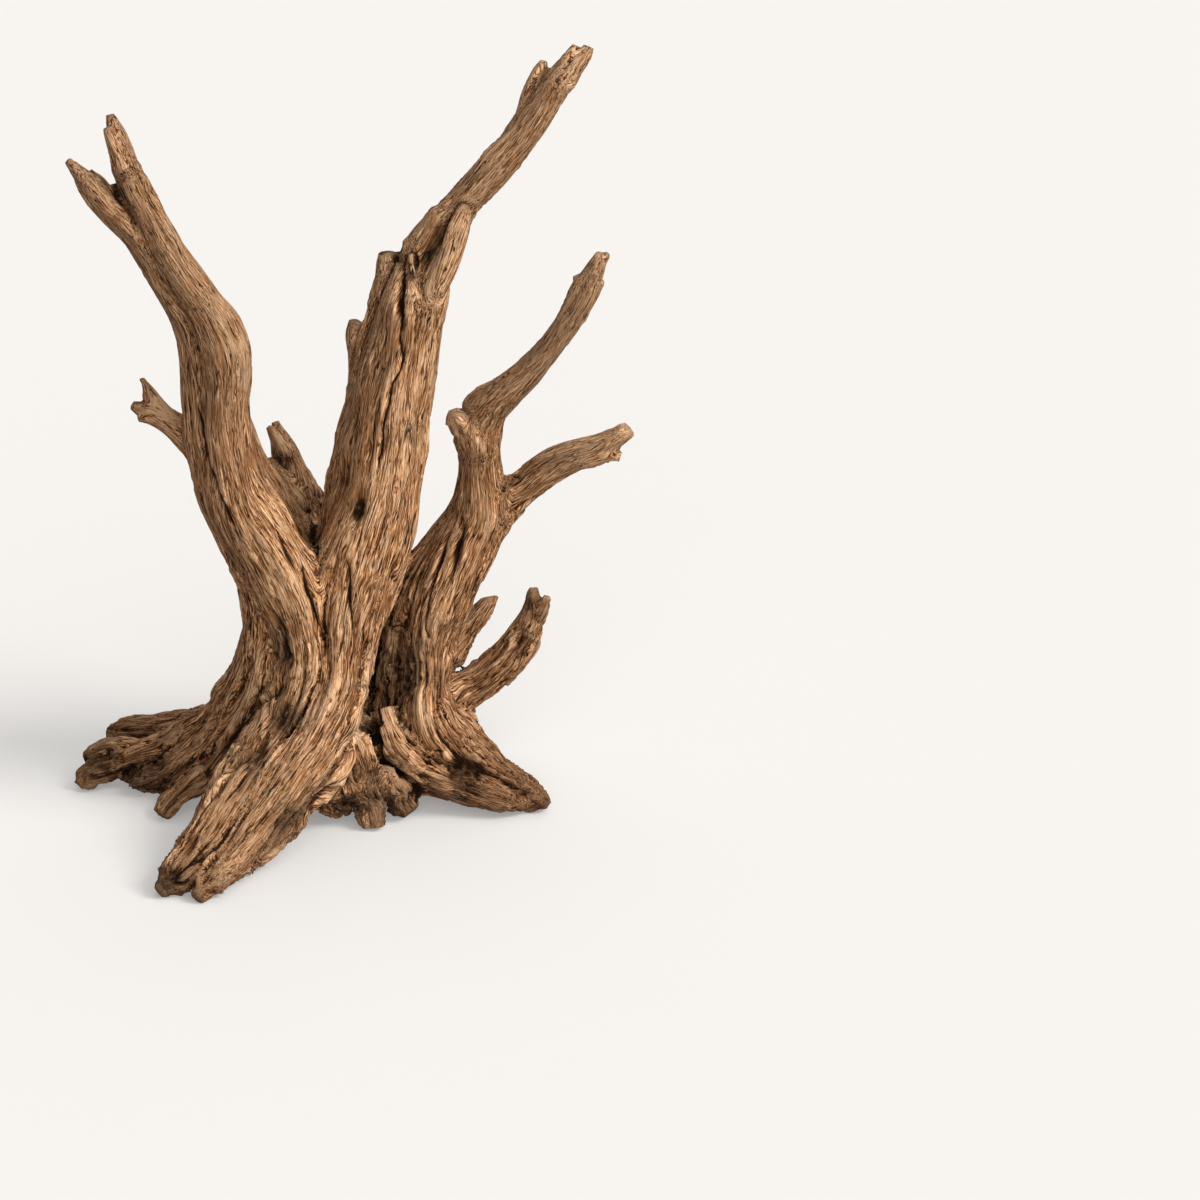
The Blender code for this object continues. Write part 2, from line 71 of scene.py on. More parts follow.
camera_data = bpy.data.cameras.new("camera")
camera_data.lens, camera_data.sensor_width = LENS, SENSOR
camera = bpy.data.objects.new("camera", camera_data)
bpy.context.scene.collection.objects.link(camera)
bpy.context.scene.camera = camera

distance = PHOTO_PIXELS * LENS / SENSOR * PIXEL_SIZE
rightward = np.array([1.0, 0, 0])
upward = np.array([0, math.sin(CAMERA_ANGLE), math.cos(CAMERA_ANGLE)])
ahead = np.array([0, math.cos(CAMERA_ANGLE), -math.sin(CAMERA_ANGLE)])
aim = (PHOTO_PIXELS / 2 - np.array(TRUNK_PIXEL)) * PIXEL_SIZE
camera.location = aim[0] * rightward - aim[1] * upward - distance * ahead - MIDDLE * MM
camera.rotation_euler = (math.pi / 2 - CAMERA_ANGLE, 0, 0)
camera_data.clip_start, camera_data.clip_end = NEAREST, FARTHEST
print("camera at", [round(v, 3) for v in camera.location])

# %% [markdown]
# ## The pale board
#
# The wood stands on plain pale board in a bright studio. In such a photograph the board is nearly
# overexposed, so shadows on it are faint. Stronger lamps would burn out the wood as well, so the
# board gets a weak glow of its own instead. It is large, so that its far edge never shows behind
# the wood.

# %% Lay the board
FLOOR_COLOUR = (0.372, 0.366, 0.362, 1)
FLOOR_GLOW = (1.0, 0.985, 0.96, 1)
GLOW_STRENGTH = 0.26
FLOOR_SIZE = 60.0


def principled(material):
    """The material's shader."""
    return next(n for n in material.node_tree.nodes if n.type == "BSDF_PRINCIPLED")


bpy.ops.mesh.primitive_plane_add(size=FLOOR_SIZE)
floor = bpy.context.object
floor.name = "floor"
board = bpy.data.materials.new("pale_board")
board.use_nodes = True
principled(board).inputs["Base Color"].default_value = FLOOR_COLOUR
principled(board).inputs["Roughness"].default_value = 0.9
principled(board).inputs["Specular IOR Level"].default_value = 0.1
principled(board).inputs["Emission Color"].default_value = FLOOR_GLOW
principled(board).inputs["Emission Strength"].default_value = GLOW_STRENGTH
floor.data.materials.append(board)
print("board", FLOOR_SIZE, "m wide")

# %% [markdown]
# ## Soft light from far away
#
# The board is as bright behind the wood as before it, so the light comes as from far away: suns
# with wide soft discs do that, while a lamp nearby would leave a bright pool on the board. A warm
# key from the right shapes the limbs, and weaker ones from the front, from above and from behind
# open the folds.

# %% Hang the lights
SKY_COLOUR, SKY_STRENGTH = (1, 0.99, 0.975, 1), 0.1


def sun(name, place, softness, power, colour=(1, 1, 1)):
    """Light from the direction of a place, with a softness in degrees."""
    data = bpy.data.lights.new(name, "SUN")
    data.angle, data.energy, data.color = math.radians(softness), power, colour
    made = bpy.data.objects.new(name, data)
    made.location = place
    level = math.hypot(place[0], place[1])
    made.rotation_euler = (math.atan2(level, place[2]), 0, math.atan2(place[0], -place[1]))
    bpy.context.scene.collection.objects.link(made)
    return made


sun("key", (0.85, -0.20, 0.80), 25, 3.3, (1, 0.97, 0.93))
sun("front", (0.45, -0.85, 0.60), 90, 2.9, (1, 0.98, 0.95))
sun("top", (0.20, 0.45, 1.0), 50, 1.5, (1, 0.99, 0.97))
sun("back", (-0.50, 0.90, 0.50), 90, 0.6, (0.97, 0.98, 1))
world = bpy.data.worlds.new("studio")
world.use_nodes = True
world.node_tree.nodes["Background"].inputs["Color"].default_value = SKY_COLOUR
world.node_tree.nodes["Background"].inputs["Strength"].default_value = SKY_STRENGTH
bpy.context.scene.world = world
bpy.context.scene.view_settings.view_transform = "Standard"

# %% [markdown]
# ## The strands of the wood
#
# A tree's grain runs from each root up through the trunk and out into a limb, and weathered wood
# shows it as ridges. So the piece is described by strands: smooth routes from the ground up, with
# the radius of the wood round each. They could be modelled as tubes, but tubes leave seams where
# they meet. As numbers they can be asked, for any point, how far the wood's surface is and which
# way its grain runs, and the answers of neighbouring strands blend without a seam.

# %% The strands, in millimetres
# Each row is x, y, z, radius, from the ground end to the top end
STRANDS = {
    # roots that run through the crown and become limbs
    "front_root_to_middle_limb": [
        (-54, -116, 6, 3.5), (-47, -104, 9, 9), (-37, -86, 14, 12), (-24, -70, 26, 14),
        (-11, -55, 39, 15.5), (1, -42, 53, 16), (9, -28, 70, 16), (11, -20, 87, 17),
        (13, -14, 106, 20.5), (18, -8, 125, 21), (24, -4, 144, 21), (30, 0, 163, 20),
        (33, 3, 180, 19.5), (36, 6, 199, 18), (39, 8, 218, 18), (43, 10, 238, 16),
        (46, 12, 255, 15.5), (50, 14, 269, 14), (58, 17, 282, 11.5), (70, 22, 298, 8.5),
        (86, 27, 315, 8.5), (99, 31, 330, 8), (110, 35, 346, 7.5), (118, 38, 358, 6),
        (122, 40, 366, 3.5), (124, 41, 370, 1.5),
    ],
    "front_root_to_left_limb": [
        (-71, -111, 7, 4), (-64, -102, 10, 10), (-51, -82, 18, 13.5), (-38, -61, 31, 15),
        (-23, -42, 47, 15.5), (-10, -28, 64, 15), (-5, -21, 83, 15), (-8, -17, 102, 16),
        (-14, -14, 122, 18.5), (-24, -10, 141, 17.5), (-35, -8, 161, 15), (-40, -7, 181, 12),
        (-42, -6, 204, 12), (-41, -5, 226, 12), (-42, -8, 245, 12), (-50, -12, 264, 9),
        (-62, -16, 286, 8), (-71, -20, 308, 7.5), (-77, -24, 325, 7), (-80, -27, 338, 5.5),
        (-82, -29, 350, 3.5), (-84, -30, 358, 1.5),
    ],
    "left_root_to_left_limb": [
        (-101, -3, 8, 4), (-93, -3, 9, 8.5), (-79, -1, 14, 10.5), (-62, 0, 24, 11.5),
        (-47, 1, 42, 12), (-35, 0, 61, 12), (-28, -2, 87, 10.5), (-28, -4, 112, 10.5),
        (-35, -4, 136, 12.5), (-45, -2, 159, 12), (-49, 0, 181, 11), (-51, 0, 209, 12),
        (-51, 0, 232, 12), (-57, -6, 253, 9), (-67, -12, 275, 7.5), (-77, -20, 297, 6.5),
        (-87, -26, 313, 6), (-94, -30, 324, 5.5), (-99, -32, 332, 3.5), (-103, -34, 338, 1.5),
    ],
    "right_root_to_right_limb": [
        (109, -28, 7, 3.5), (102, -24, 9, 7), (88, -18, 13, 11), (72, -13, 20, 16),
        (60, -10, 32, 19), (52, -8, 47, 16.5), (52, 0, 61, 11), (53, 8, 79, 13.5),
        (58, 12, 97, 16.5), (64, 15, 113, 15.5), (70, 18, 127, 15), (76, 20, 141, 13.5),
        (77, 20, 154, 12), (76, 19, 171, 10), (76, 18, 184, 10.5), (80, 17, 197, 9.5),
        (90, 14, 208, 8), (102, 10, 221, 7), (112, 6, 234, 6.5), (121, 2, 250, 6.5),
        (128, -2, 265, 6.5), (133, -4, 277, 4.5), (135, -5, 284, 2.5),
    ],
    "back_left_root": [
        (-55, 92, 5, 5), (-49, 82, 9, 9), (-41, 64, 23, 12), (-32, 45, 42, 14),
        (-23, 28, 66, 16), (-16, 20, 95, 17), (-18, 16, 125, 16), (-27, 12, 150, 14),
        (-38, 8, 175, 12), (-45, 6, 205, 10), (-46, 4, 235, 9), (-50, 0, 258, 7),
    ],
    "back_middle_root": [
        (2, 78, 6, 6), (4, 70, 11, 10), (6, 60, 24, 13), (8, 46, 40, 15),
        (11, 34, 64, 18), (16, 24, 96, 20), (22, 20, 126, 18), (28, 20, 160, 16),
        (34, 21, 195, 14), (39, 22, 225, 12), (46, 23, 255, 10), (56, 25, 278, 8),
    ],
    "back_right_root": [
        (66, 84, 4, 4), (61, 75, 8, 8), (53, 58, 21, 12), (47, 40, 42, 15),
        (46, 28, 68, 16), (52, 27, 95, 15), (62, 28, 120, 13), (72, 28, 142, 10),
        (77, 26, 165, 8),
    ],
    # the heart of the crown, between the roots
    "crown_front": [(-12, -24, 24, 14.5), (2, -10, 25, 19), (18, 0, 25, 17)],
    "crown_back": [(-16, 20, 34, 18), (8, 24, 32, 20), (34, 20, 32, 18)],
    # middle limb: its left half, a broken shoulder, a stub and the splinters of its tip
    "middle_limb_left": [
        (-1, 8, 101, 7), (3, 12, 121, 10), (10, 14, 141, 12.5), (16, 14, 162, 13.5),
        (21, 14, 183, 12.5), (25, 13, 204, 11.5), (29, 12, 230, 9.5), (35, 12, 250, 8.5),
        (38, 13, 265, 7), (37, 13, 273, 4.5), (36, 13, 278, 2.5),
    ],
    "middle_limb_stub": [
        (19, 22, 185, 7), (20, 20, 207, 6), (20, 18, 223, 5), (19, 16, 236, 4.5),
        (19, 15, 243, 3),
    ],
    "middle_limb_knob": [(43, 8, 257, 6.5), (44, 8, 269, 5.5), (45, 9, 278, 3.5), (46, 9, 281, 2)],
    "middle_tip_splinter": [
        (92, 32, 321, 5.5), (99, 36, 336, 5), (103, 40, 348, 4.5), (107, 43, 357, 3.5),
        (109, 44, 362, 1.5),
    ],
    "middle_tip_right": [(119, 36, 355, 6), (124, 37, 362, 5), (128, 38, 366, 3.5), (130, 39, 370, 2)],
    "middle_back_stub": [(44, 28, 205, 9), (50, 40, 219, 7), (54, 47, 230, 4.5), (56, 50, 236, 2)],
    # left limb: splinters of its tip and the forked twig on its side
    "left_tip_small": [(-87, -22, 318, 4), (-93, -20, 325, 3), (-96, -19, 329, 1.5)],
    "left_tip_beside": [(-80, -31, 335, 3.5), (-83, -33, 346, 2.5), (-85, -34, 353, 1.5)],
    "twig": [
        (-57, 6, 180, 6.5), (-64, 10, 188, 7), (-72, 12, 194, 6), (-78, 13, 198, 5.5),
        (-84, 14, 199, 4), (-89, 15, 201, 2),
    ],
    "twig_upper": [(-76, 14, 199, 4.5), (-80, 16, 205, 4), (-82, 17, 210, 2.5), (-84, 17, 214, 1.5)],
    "twig_lower": [(-76, 12, 195, 4.5), (-82, 11, 196, 3), (-86, 10, 196, 1.5)],
    # broken stump behind the crotch
    "stump": [
        (-10, 26, 123, 14), (-13, 40, 134, 11.5), (-16, 48, 148, 9), (-20, 52, 160, 6.5),
        (-23, 54, 169, 4), (-25, 55, 176, 2),
    ],
    "stump_side": [(-18, 36, 140, 10), (-24, 40, 151, 6), (-27, 42, 159, 3.5), (-28, 42, 162, 2)],
    "stump_peak": [(-21, 48, 164, 4.5), (-26, 50, 173, 2.5), (-28, 50, 176, 1.5)],
    "stump_web": [(9, 36, 121, 13), (-1, 44, 131, 11), (-5, 46, 138, 6.5), (-5, 46, 142, 3)],
    # right limb: its fork, knob, splinters, and the horn and spur low on its back
    "right_fork": [
        (62, 22, 108, 10), (75, 24, 131, 11), (87, 24, 145, 10), (100, 22, 157, 8.5),
        (112, 18, 168, 8), (123, 14, 175, 7), (135, 10, 181, 6), (142, 8, 187, 4.5),
        (146, 7, 192, 2.5),
    ],
    "right_fork_tip": [(135, 8, 182, 4), (144, 6, 187, 3), (150, 5, 191, 2)],
    "right_fork_low": [(130, 10, 176, 5), (139, 8, 178, 3.5), (145, 7, 177, 2)],
    "right_knob": [(75, 16, 182, 8.5), (70, 14, 190, 7), (66, 13, 196, 5), (65, 13, 199, 2.5)],
    "right_tip_side": [(125, 3, 251, 4.5), (131, 1, 262, 3.5), (135, 0, 268, 2)],
    "right_tip_bump": [(127, 0, 263, 4), (125, 2, 271, 3)],
    "right_tip_right": [(134, -4, 276, 3), (137, -5, 281, 2.5), (139, -5, 284, 1.5)],
    "right_inner": [(35, 22, 73, 10), (42, 22, 95, 13), (51, 22, 115, 11), (59, 24, 128, 7)],
    "horn": [
        (55, 10, 39, 12), (63, 20, 43, 11), (73, 26, 46, 9), (85, 30, 55, 8.5),
        (94, 32, 66, 8.5), (100, 33, 78, 7), (102, 33, 88, 4.5), (102, 33, 96, 2),
    ],
    "horn_tip": [(100, 30, 77, 5), (105, 30, 84, 4), (108, 30, 90, 2.5), (109, 30, 93, 1.5)],
    "spur": [(60, 38, 57, 8), (68, 44, 67, 5.5), (75, 48, 75, 5), (80, 50, 81, 3.5), (83, 51, 84, 1.5)],
    # right root
    "right_root_low": [
        (96, -30, 7, 3.5), (86, -29, 10, 6), (69, -26, 15, 7.5), (49, -24, 22, 11),
        (35, -22, 34, 10), (30, -19, 43, 8), (27, -14, 52, 6),
    ],
    "rotten_core": [(36, -6, 20, 12), (35, 0, 39, 12), (36, 6, 58, 11), (38, 12, 77, 9)],
    # left roots
    "left_groove_root": [
        (-79, -22, 6, 4), (-73, -16, 9, 7.5), (-60, -15, 19, 9), (-47, -15, 33, 9.5),
        (-36, -14, 49, 9.5), (-27, -14, 68, 9), (-23, -10, 88, 8.5), (-22, -8, 109, 8),
    ],
    "left_back_root": [
        (-115, 40, 13, 4.5), (-107, 37, 14, 7), (-93, 32, 18, 8), (-77, 26, 24, 8),
        (-60, 18, 32, 7.5), (-45, 10, 48, 8), (-37, 6, 65, 6.5),
    ],
    "left_middle_root": [
        (-125, -3, 8, 3.5), (-119, -1, 11, 6), (-108, 1, 13, 8), (-94, 0, 18, 8.5),
        (-79, 4, 22, 10), (-62, 6, 28, 12), (-47, 8, 38, 11),
    ],
    "left_middle_nub": [(-123, 9, 13, 3), (-116, 9, 15, 5), (-105, 8, 16, 6), (-90, 7, 18, 6)],
    "left_shoulder": [(-52, 2, 41, 7), (-49, 4, 49, 7.5), (-46, 5, 58, 5), (-46, 5, 63, 2.5)],
    "left_foot": [(-80, -35, 5, 4.5), (-77, -31, 8, 6), (-72, -28, 12, 6), (-62, -22, 17, 7)],
    # small roots under the front of the crown and at its back
    "under_foot": [
        (25, -43, 3, 5), (24, -41, 9, 6.5), (21, -37, 17, 8), (17, -33, 28, 10),
        (12, -28, 40, 11),
    ],
    "under_foot_right": [(43, -34, 7, 5), (40, -32, 10, 7), (35, -26, 15, 9), (29, -20, 22, 11)],
    "under_lump": [(9, -38, 13, 6), (5, -37, 16, 8.5), (1, -34, 24, 11)],
    "under_web": [(-6, -45, 27, 9), (8, -38, 24, 9), (20, -34, 22, 8.5), (36, -28, 20, 8)],
    "front_flank": [
        (8, -44, 44, 9), (0, -54, 33, 10), (-8, -63, 24, 10), (-15, -69, 18, 10),
        (-22, -78, 13, 8), (-28, -86, 9, 5),
    ],
    "back_rootlet": [
        (28, 94, 3, 3), (24, 88, 6, 5), (22, 74, 15, 7), (16, 60, 26, 9), (12, 48, 38, 9),
    ],
    "back_burl": [(-14, 52, 22, 9), (-24, 56, 26, 12), (-32, 62, 24, 8)],
}
print(len(STRANDS), "strands")

# %% [markdown]
# ## Small growths
#
# Some forms are too small for the packed solid: a broken shoulder, the rim of a pit, splinters and
# knobs on the roots. They could be sculpted on afterwards, but as rows of the same kind they blend
# into their neighbours and take on the grain that runs past them.

# %% The growths, in millimetres
ADDED = {
    "shoulder": [
        (33, 12, 240, 7), (34, 12, 256, 7), (35.5, 12, 267, 6.5), (36, 12, 274, 6), (36, 12, 278, 5),
    ],
    "shoulder_pin": [(48, 2, 258, 3), (48, 2, 269, 4.2), (47.5, 2.5, 276, 4.2), (47, 4, 281, 3.4)],
    "pit_edge": [
        (72, 14, 298, 3), (69, 11.5, 290, 4.8), (65.5, 9.5, 281, 5.5), (62, 7, 272, 5.5), (58.5, 4, 263, 4),
    ],
    "crown_splinter": [(12, -42, 37, 2.5), (14, -44, 29, 3.6), (16, -45, 21, 3.4), (18, -44, 14, 2)],
    "under_splinter": [(32, -34, 28, 2), (34, -37, 20, 2.4), (36, -38, 13, 2.4), (38, -39, 7, 1.5)],
    "left_limb_back": [
        (-46, 4, 240, 8), (-50, 0, 257, 7), (-55, -3, 270, 6), (-61, -8, 282, 4.5), (-68, -13, 293, 3),
    ],
    "middle_limb_back": [
        (47, 23, 260, 9), (56, 25, 277, 8), (64, 26, 290, 6.5), (74, 27, 302, 5), (84, 27, 313, 3.5),
    ],
    "right_limb_back": [(75, 27, 152, 8), (77, 26, 165, 8), (77, 25, 180, 6.5), (79, 22, 195, 4.5)],
    "under_web_end": [(24, -33, 21, 7), (36, -28, 20, 8), (47, -25, 21, 7), (58, -24, 18, 5)],
    "left_back_root_belly": [(-110, 38, 9, 6), (-95, 32, 12, 7.5), (-80, 26, 17, 7.5), (-64, 19, 24, 7)],
    "left_root_cheek": [(-90, -8, 9, 7.5), (-78, -8, 14, 9.5), (-64, -6, 25, 11), (-50, -5, 40, 10)],
    "left_middle_knob": [(-117, 5, 18, 5), (-110, 6, 20, 6), (-100, 5, 20, 6)],
    "left_middle_toe": [(-123, -4, 7, 4), (-116, -4, 9, 5), (-106, -3, 12, 6)],
}
print(len(ADDED), "small growths")

# %% [markdown]
# ## A smooth route
#
# The rows above are a centimetre or two apart. A Catmull-Rom curve passes through every one of
# them and bends smoothly between, which a polyline would not. Samples at even steps make it easy
# to find the nearest one.

# %% Curve through a strand's rows
ROUTE_STEP = 3.0


def unit(vectors):
    """The vectors at length 1."""
    return vectors / np.maximum(np.linalg.norm(vectors, axis=-1, keepdims=True), 1e-9)


def smooth_route(points, apart=ROUTE_STEP):
    """Even rows of x, y, z, radius along a Catmull-Rom curve through the points."""
    rows = np.array(points, float)
    rows = np.vstack([2 * rows[0] - rows[1], rows, 2 * rows[-1] - rows[-2]])
    t = np.linspace(0, 1, 12, endpoint=False)[:, None]
    curve = [
        0.5 * (2 * b + (c - a) * t + (2 * a - 5 * b + 4 * c - d) * t**2 + (3 * b - a - 3 * c + d) * t**3)
        for a, b, c, d in zip(rows, rows[1:], rows[2:], rows[3:])
    ]
    curve = np.vstack([*curve, rows[-2:-1]])
    along = np.append(0, np.cumsum(np.linalg.norm(np.diff(curve[:, :3], axis=0), axis=1)))
    even = np.linspace(0, along[-1], max(3, round(along[-1] / apart) + 1))
    return np.column_stack([np.interp(even, along, column) for column in curve.T]), even


middle_limb, middle_limb_along = smooth_route(STRANDS["front_root_to_middle_limb"])
print("the middle limb's strand is", round(middle_limb_along[-1]), "mm long,", len(middle_limb), "samples")

# %% [markdown]
# ## A strand and its grain
#
# Each strand carries its own grain coordinates: two distances across and one along it, as if the
# bent wood were straightened. A strand that grows out of others carries on their coordinates, so
# ridges flow round a fork. A second set, the flow, leaves out how far a point is from the strand's
# middle, so a fine line keeps running along the surface where that rises or sinks.

# %% One strand of wood
NECK_HEIGHT = 108.0  # strands that pass this height share one set of coordinates there
FLOW_RADIUS_SHARE = 2  # at a thin tip the flow's radius is at most this many times the strand's


class Strand:
    """One strand of wood: its route, and the directions of its grain along it.

    Grain coordinates are two distances across the grain and one along it, as if the whole tree
    were unbent into a straight pole. A strand carries on the coordinates of the wood it is rooted in.
    """

    def __init__(self, points, earlier):
        route, self.along = smooth_route(points)
        self.centre, self.radius = route[:, :3], route[:, 3]
        self.slope = np.gradient(self.radius, self.along)
        self.tangent = unit(np.gradient(self.centre, axis=0))
        self.low = self.centre.min(0) - self.radius.max()
        self.high = self.centre.max(0) + self.radius.max()
        through = self.centre[0, 2] < NECK_HEIGHT < self.centre[-1, 2]
        if through or not earlier:
            home = int(np.argmin(abs(self.centre[:, 2] - NECK_HEIGHT)))
            side, self.grain_home = np.array([1.0, 0, 0]), np.append(self.centre[home, :2], 0)
        else:
            wood = wood_at(self.centre, earlier)
            home = int(np.argmin(wood["distance"]))
            side, self.grain_home = wood["side"][home], wood["grain"][home]
        self.home = home
        self.side = np.zeros_like(self.centre)
        self.carry(side, range(home, len(self.centre)))
        self.carry(side, range(home, -1, -1))

    def carry(self, side, samples):
        """Carries the direction across the grain along the samples without twisting it."""
        for i in samples:
            side = unit(side - self.tangent[i] * (side @ self.tangent[i]))
            self.side[i] = side

    def near(self, points):
        """Distance to the strand's own surface, way out, side direction, radius, grain and flow."""
        gap = (self.centre**2).sum(1) - 2 * points @ self.centre.T
        i = gap.argmin(1)
        tangent = self.tangent[i]
        step = ((points - self.centre[i]) * tangent).sum(1)
        step = np.where(i == 0, np.maximum(step, 0), step)
        step = np.where(i == len(self.centre) - 1, np.minimum(step, 0), step)
        step = np.clip(step, -ROUTE_STEP, ROUTE_STEP)
        out = points - self.centre[i] - tangent * step[:, None]
        radius = self.radius[i] + self.slope[i] * step
        side = self.side[i]
        other = np.cross(tangent, side)
        across = np.stack([(out * side).sum(1), (out * other).sum(1)], 1)
        length = self.along[i] + step - self.along[self.home]
        even_radius = np.minimum(self.radius.max(), FLOW_RADIUS_SHARE * radius)
        return {
            "distance": np.linalg.norm(out, axis=1) - radius,
            "out": unit(out),
            "side": side,
            "radius": radius,
            "grain": np.column_stack([across, length]) + self.grain_home,
            "flow": np.column_stack([unit(across) * even_radius[:, None], length]) + self.grain_home,
        }


lone = Strand(STRANDS["front_root_to_middle_limb"], [])
half = len(lone.centre) // 2
print("halfway up it is", round(-lone.near(lone.centre[half:half + 1])["distance"][0], 1), "mm in radius")

# %% [markdown]
# ## Where the blended wood ends
#
# Any point can now ask how far it is from the wood. The answers of nearby strands are blended by a
# smooth minimum: it rounds the valleys between strands a little and leaves their crests alone. A
# plain minimum would leave a sharp seam in every valley. The same weights, made narrower, blend
# the grain.

# %% Ask all the strands
BLEND_SHARE = 0.17
BLEND_LEAST, BLEND_MOST = 0.6, 3.6
GRAIN_BLEND = 1.6
REACH = 14.0


def wood_at(points, strands, reach=REACH):
    """The blended surface of all the strands seen from the points: distance, way out, radius, grain."""
    found, least = [], np.full(len(points), 1e3)
    for strand in strands:
        close = ((points > strand.low - reach) & (points < strand.high + reach)).all(1)
        index = np.flatnonzero(close)
        if len(index):
            here = strand.near(points[index])
            least[index] = np.minimum(least[index], here["distance"])
            found.append((index, here))

    def mean(key, width):
        """Mean of a value over the strands, each weighed by how near it is, and the weights' sum."""
        width = np.broadcast_to(width, least.shape)
        total, weights = None, np.full(len(points), 1e-12)
        for index, here in found:
            weight = np.exp((least[index] - here["distance"]) / width[index])
            value = here[key] if here[key].ndim > 1 else here[key][:, None]
            if total is None:
                total = np.zeros((len(points), value.shape[1]))
            total[index] += value * weight[:, None]
            weights[index] += weight
        return total / weights[:, None], weights

    radius = mean("radius", GRAIN_BLEND)[0][:, 0]
    blend = np.clip(BLEND_SHARE * radius, BLEND_LEAST, BLEND_MOST)
    out, weights = mean("out", blend)
    return {
        "distance": least - blend * np.log(weights),
        "out": out,
        "radius": radius,
        "side": unit(mean("side", GRAIN_BLEND)[0]),
        "grain": mean("grain", GRAIN_BLEND)[0],
        "flow": mean("flow", GRAIN_BLEND)[0],
    }


strands = []
for name, points in (STRANDS | ADDED).items():
    strands.append(Strand(points, list(strands)))
print(len(strands), "strands,", sum(len(s.centre) for s in strands), "samples")

# %% [markdown]
# ## Noise along the grain
#
# Water and sand wear away the soft spring wood, and the hard summer wood stays as ridges. Noise
# drawn out along the grain gives both: where it crosses zero lies a narrow furrow, and the crests
# between are round. Blender's own noise answers for one point at a time, which is slow for so
# large a skin, so this one is a small lattice of seeded random numbers, smoothed between its
# corners.

# %% A lattice of noise
LATTICE_SIZE = 64
LATTICE = np.random.default_rng(11).uniform(-1, 1, (LATTICE_SIZE,) * 3)
WAVE_CELL, WAVE_LENGTH, WAVE_SIZE = 11.0, 24.0, 2.0


def noise(grain, across, along, seed):
    """Smooth random values from -1 to 1 in cells drawn out along the grain."""
    place = grain / (across, across, along) + 17.3 * seed
    cell = np.floor(place).astype(int)
    share = place - cell
    share = share * share * (3 - 2 * share)
    total = 0
    for corner in itertools.product((0, 1), repeat=3):
        weight = np.where(corner, share, 1 - share).prod(1)
        total = total + weight * LATTICE[tuple(((cell + corner) % LATTICE_SIZE).T)]
    return total


def wavy(grain):
    """The grain pushed from side to side, so that fibres wander as real ones do."""
    sideways = [noise(grain, WAVE_CELL, WAVE_LENGTH, seed) for seed in (21, 22)]
    return grain + WAVE_SIZE * np.column_stack([*sideways, np.zeros(len(grain))])


def furrows(grain, across, along, seed):
    """Rounded crests at 1 with narrow furrows at 0 between them."""
    return abs(noise(grain, across, along, seed)) ** 0.7


def plates(grain, across, along, seed):
    """One random height for each long cell of the wood, so that its layers end in sharp steps."""
    shift = 0.8 * noise(grain, 2.5 * across, 0.5 * along, seed + 10)
    cell = np.floor(grain / (across, across, along) + 7.1 * seed + shift[:, None]).astype(int)
    return LATTICE[tuple((cell % LATTICE_SIZE).T)]


print("noise at the neck", noise(np.array([[0, 0, NECK_HEIGHT]]), 10.0, 10.0, 1).round(3))

# %% [markdown]
# ## Hollows and rotten places
#
# A few hollows and pits sit where the wood has them, and so does the rot: crumbly dark patches in
# the heart of the crown and beside the pits. The rot low under the front of the crown is also
# painted shade. Each is one row, because a noise would never put them in the right places. A hollow
# is measured along and across the grain, so it is longer than it is wide.

# %% Place the hollows and the rot
# Hollows and pits: place, half length along the grain, half width, depth
HOLLOWS = [
    ((56, 5, 283), 14, 5.5, 8),  # pit on the knee of the middle limb
    ((19, -19, 161), 8, 4, 6),
    ((17, -16, 174), 4, 2.5, 3),
    ((-34, -16, 249), 5, 3, 3),
    ((8, -38, 87), 6, 3, 3.5),
    ((-19, -47, 64), 8, 6, 6),  # rotted hollows along the front root
    ((-30, -57, 53), 10, 6, 5),
    ((-11, -75, 22), 13, 8, 10),
    ((63, -26, 40), 7, 4, 3),
    ((-58, -21, 28), 6, 3, 3),
    ((-66, -112, 12), 9, 4, 7),  # notch between the two lobes of its tip
    ((70, -30, 25), 13, 5, 7),  # hollow in the right root
    ((50, -31, 15), 10, 4, 4),
    ((37, -4, 66), 14, 6, 5),  # rotten heart beside the trunk
    ((-20, -29, 98), 16, 5, 5),  # dark fold on the trunk's left
    ((96, 26, 66), 8, 4, 3),
    ((20, 48, 150), 20, 6, 5),
    ((40, 36, 190), 18, 5, 5),
    ((-52, 14, 215), 14, 5, 4),
]

# Rotten places: place and radius
ROT = [
    ((-19, -47, 64), 11), ((-31, -58, 52), 12), ((-11, -75, 22), 15), ((37, -2, 66), 20),
    ((22, -34, 22), 20), ((59, 7, 291), 5), ((56, 4, 283), 6), ((53, 1, 275), 5), ((19, -19, 161), 6),
    ((-66, -112, 12), 9),
    ((70, -32, 22), 12), ((-112, 2, 11), 18), ((-90, -12, 14), 14), ((-8, 36, 134), 15),
    # these two, low under the front of the crown, are painted shade as well as rot
    ((34, -36, 12), 17), ((12, -42, 16), 13),
    ((40, 12, 276), 8), ((0, 20, 20), 40), ((-20, -31, 92), 12), ((104, 31, 88), 9),
]


def rot_at(points):
    """How rotten the wood is, from 0 to 1, with a ragged edge; also painted shade under the crown's front.
    """
    ragged = 1 + 0.35 * noise(points, 7.0, 7.0, 31)
    rot = np.zeros(len(points))
    for place, radius in ROT:
        near = np.linalg.norm(points - np.array(place, float), axis=1) / (radius * ragged)
        rot = np.maximum(rot, np.clip(1.6 - 1.4 * near, 0, 1))
    return rot


def hollow_places():
    """The hollows with their centres as grain coordinates."""
    places = np.array([place for place, *_ in HOLLOWS], float)
    centres = wood_at(places, strands)["grain"]
    return [(centre, *sizes) for centre, (_, *sizes) in zip(centres, HOLLOWS)]


HOLLOW_PLACES = hollow_places()
print(len(HOLLOW_PLACES), "hollows,", len(ROT), "rotten places")

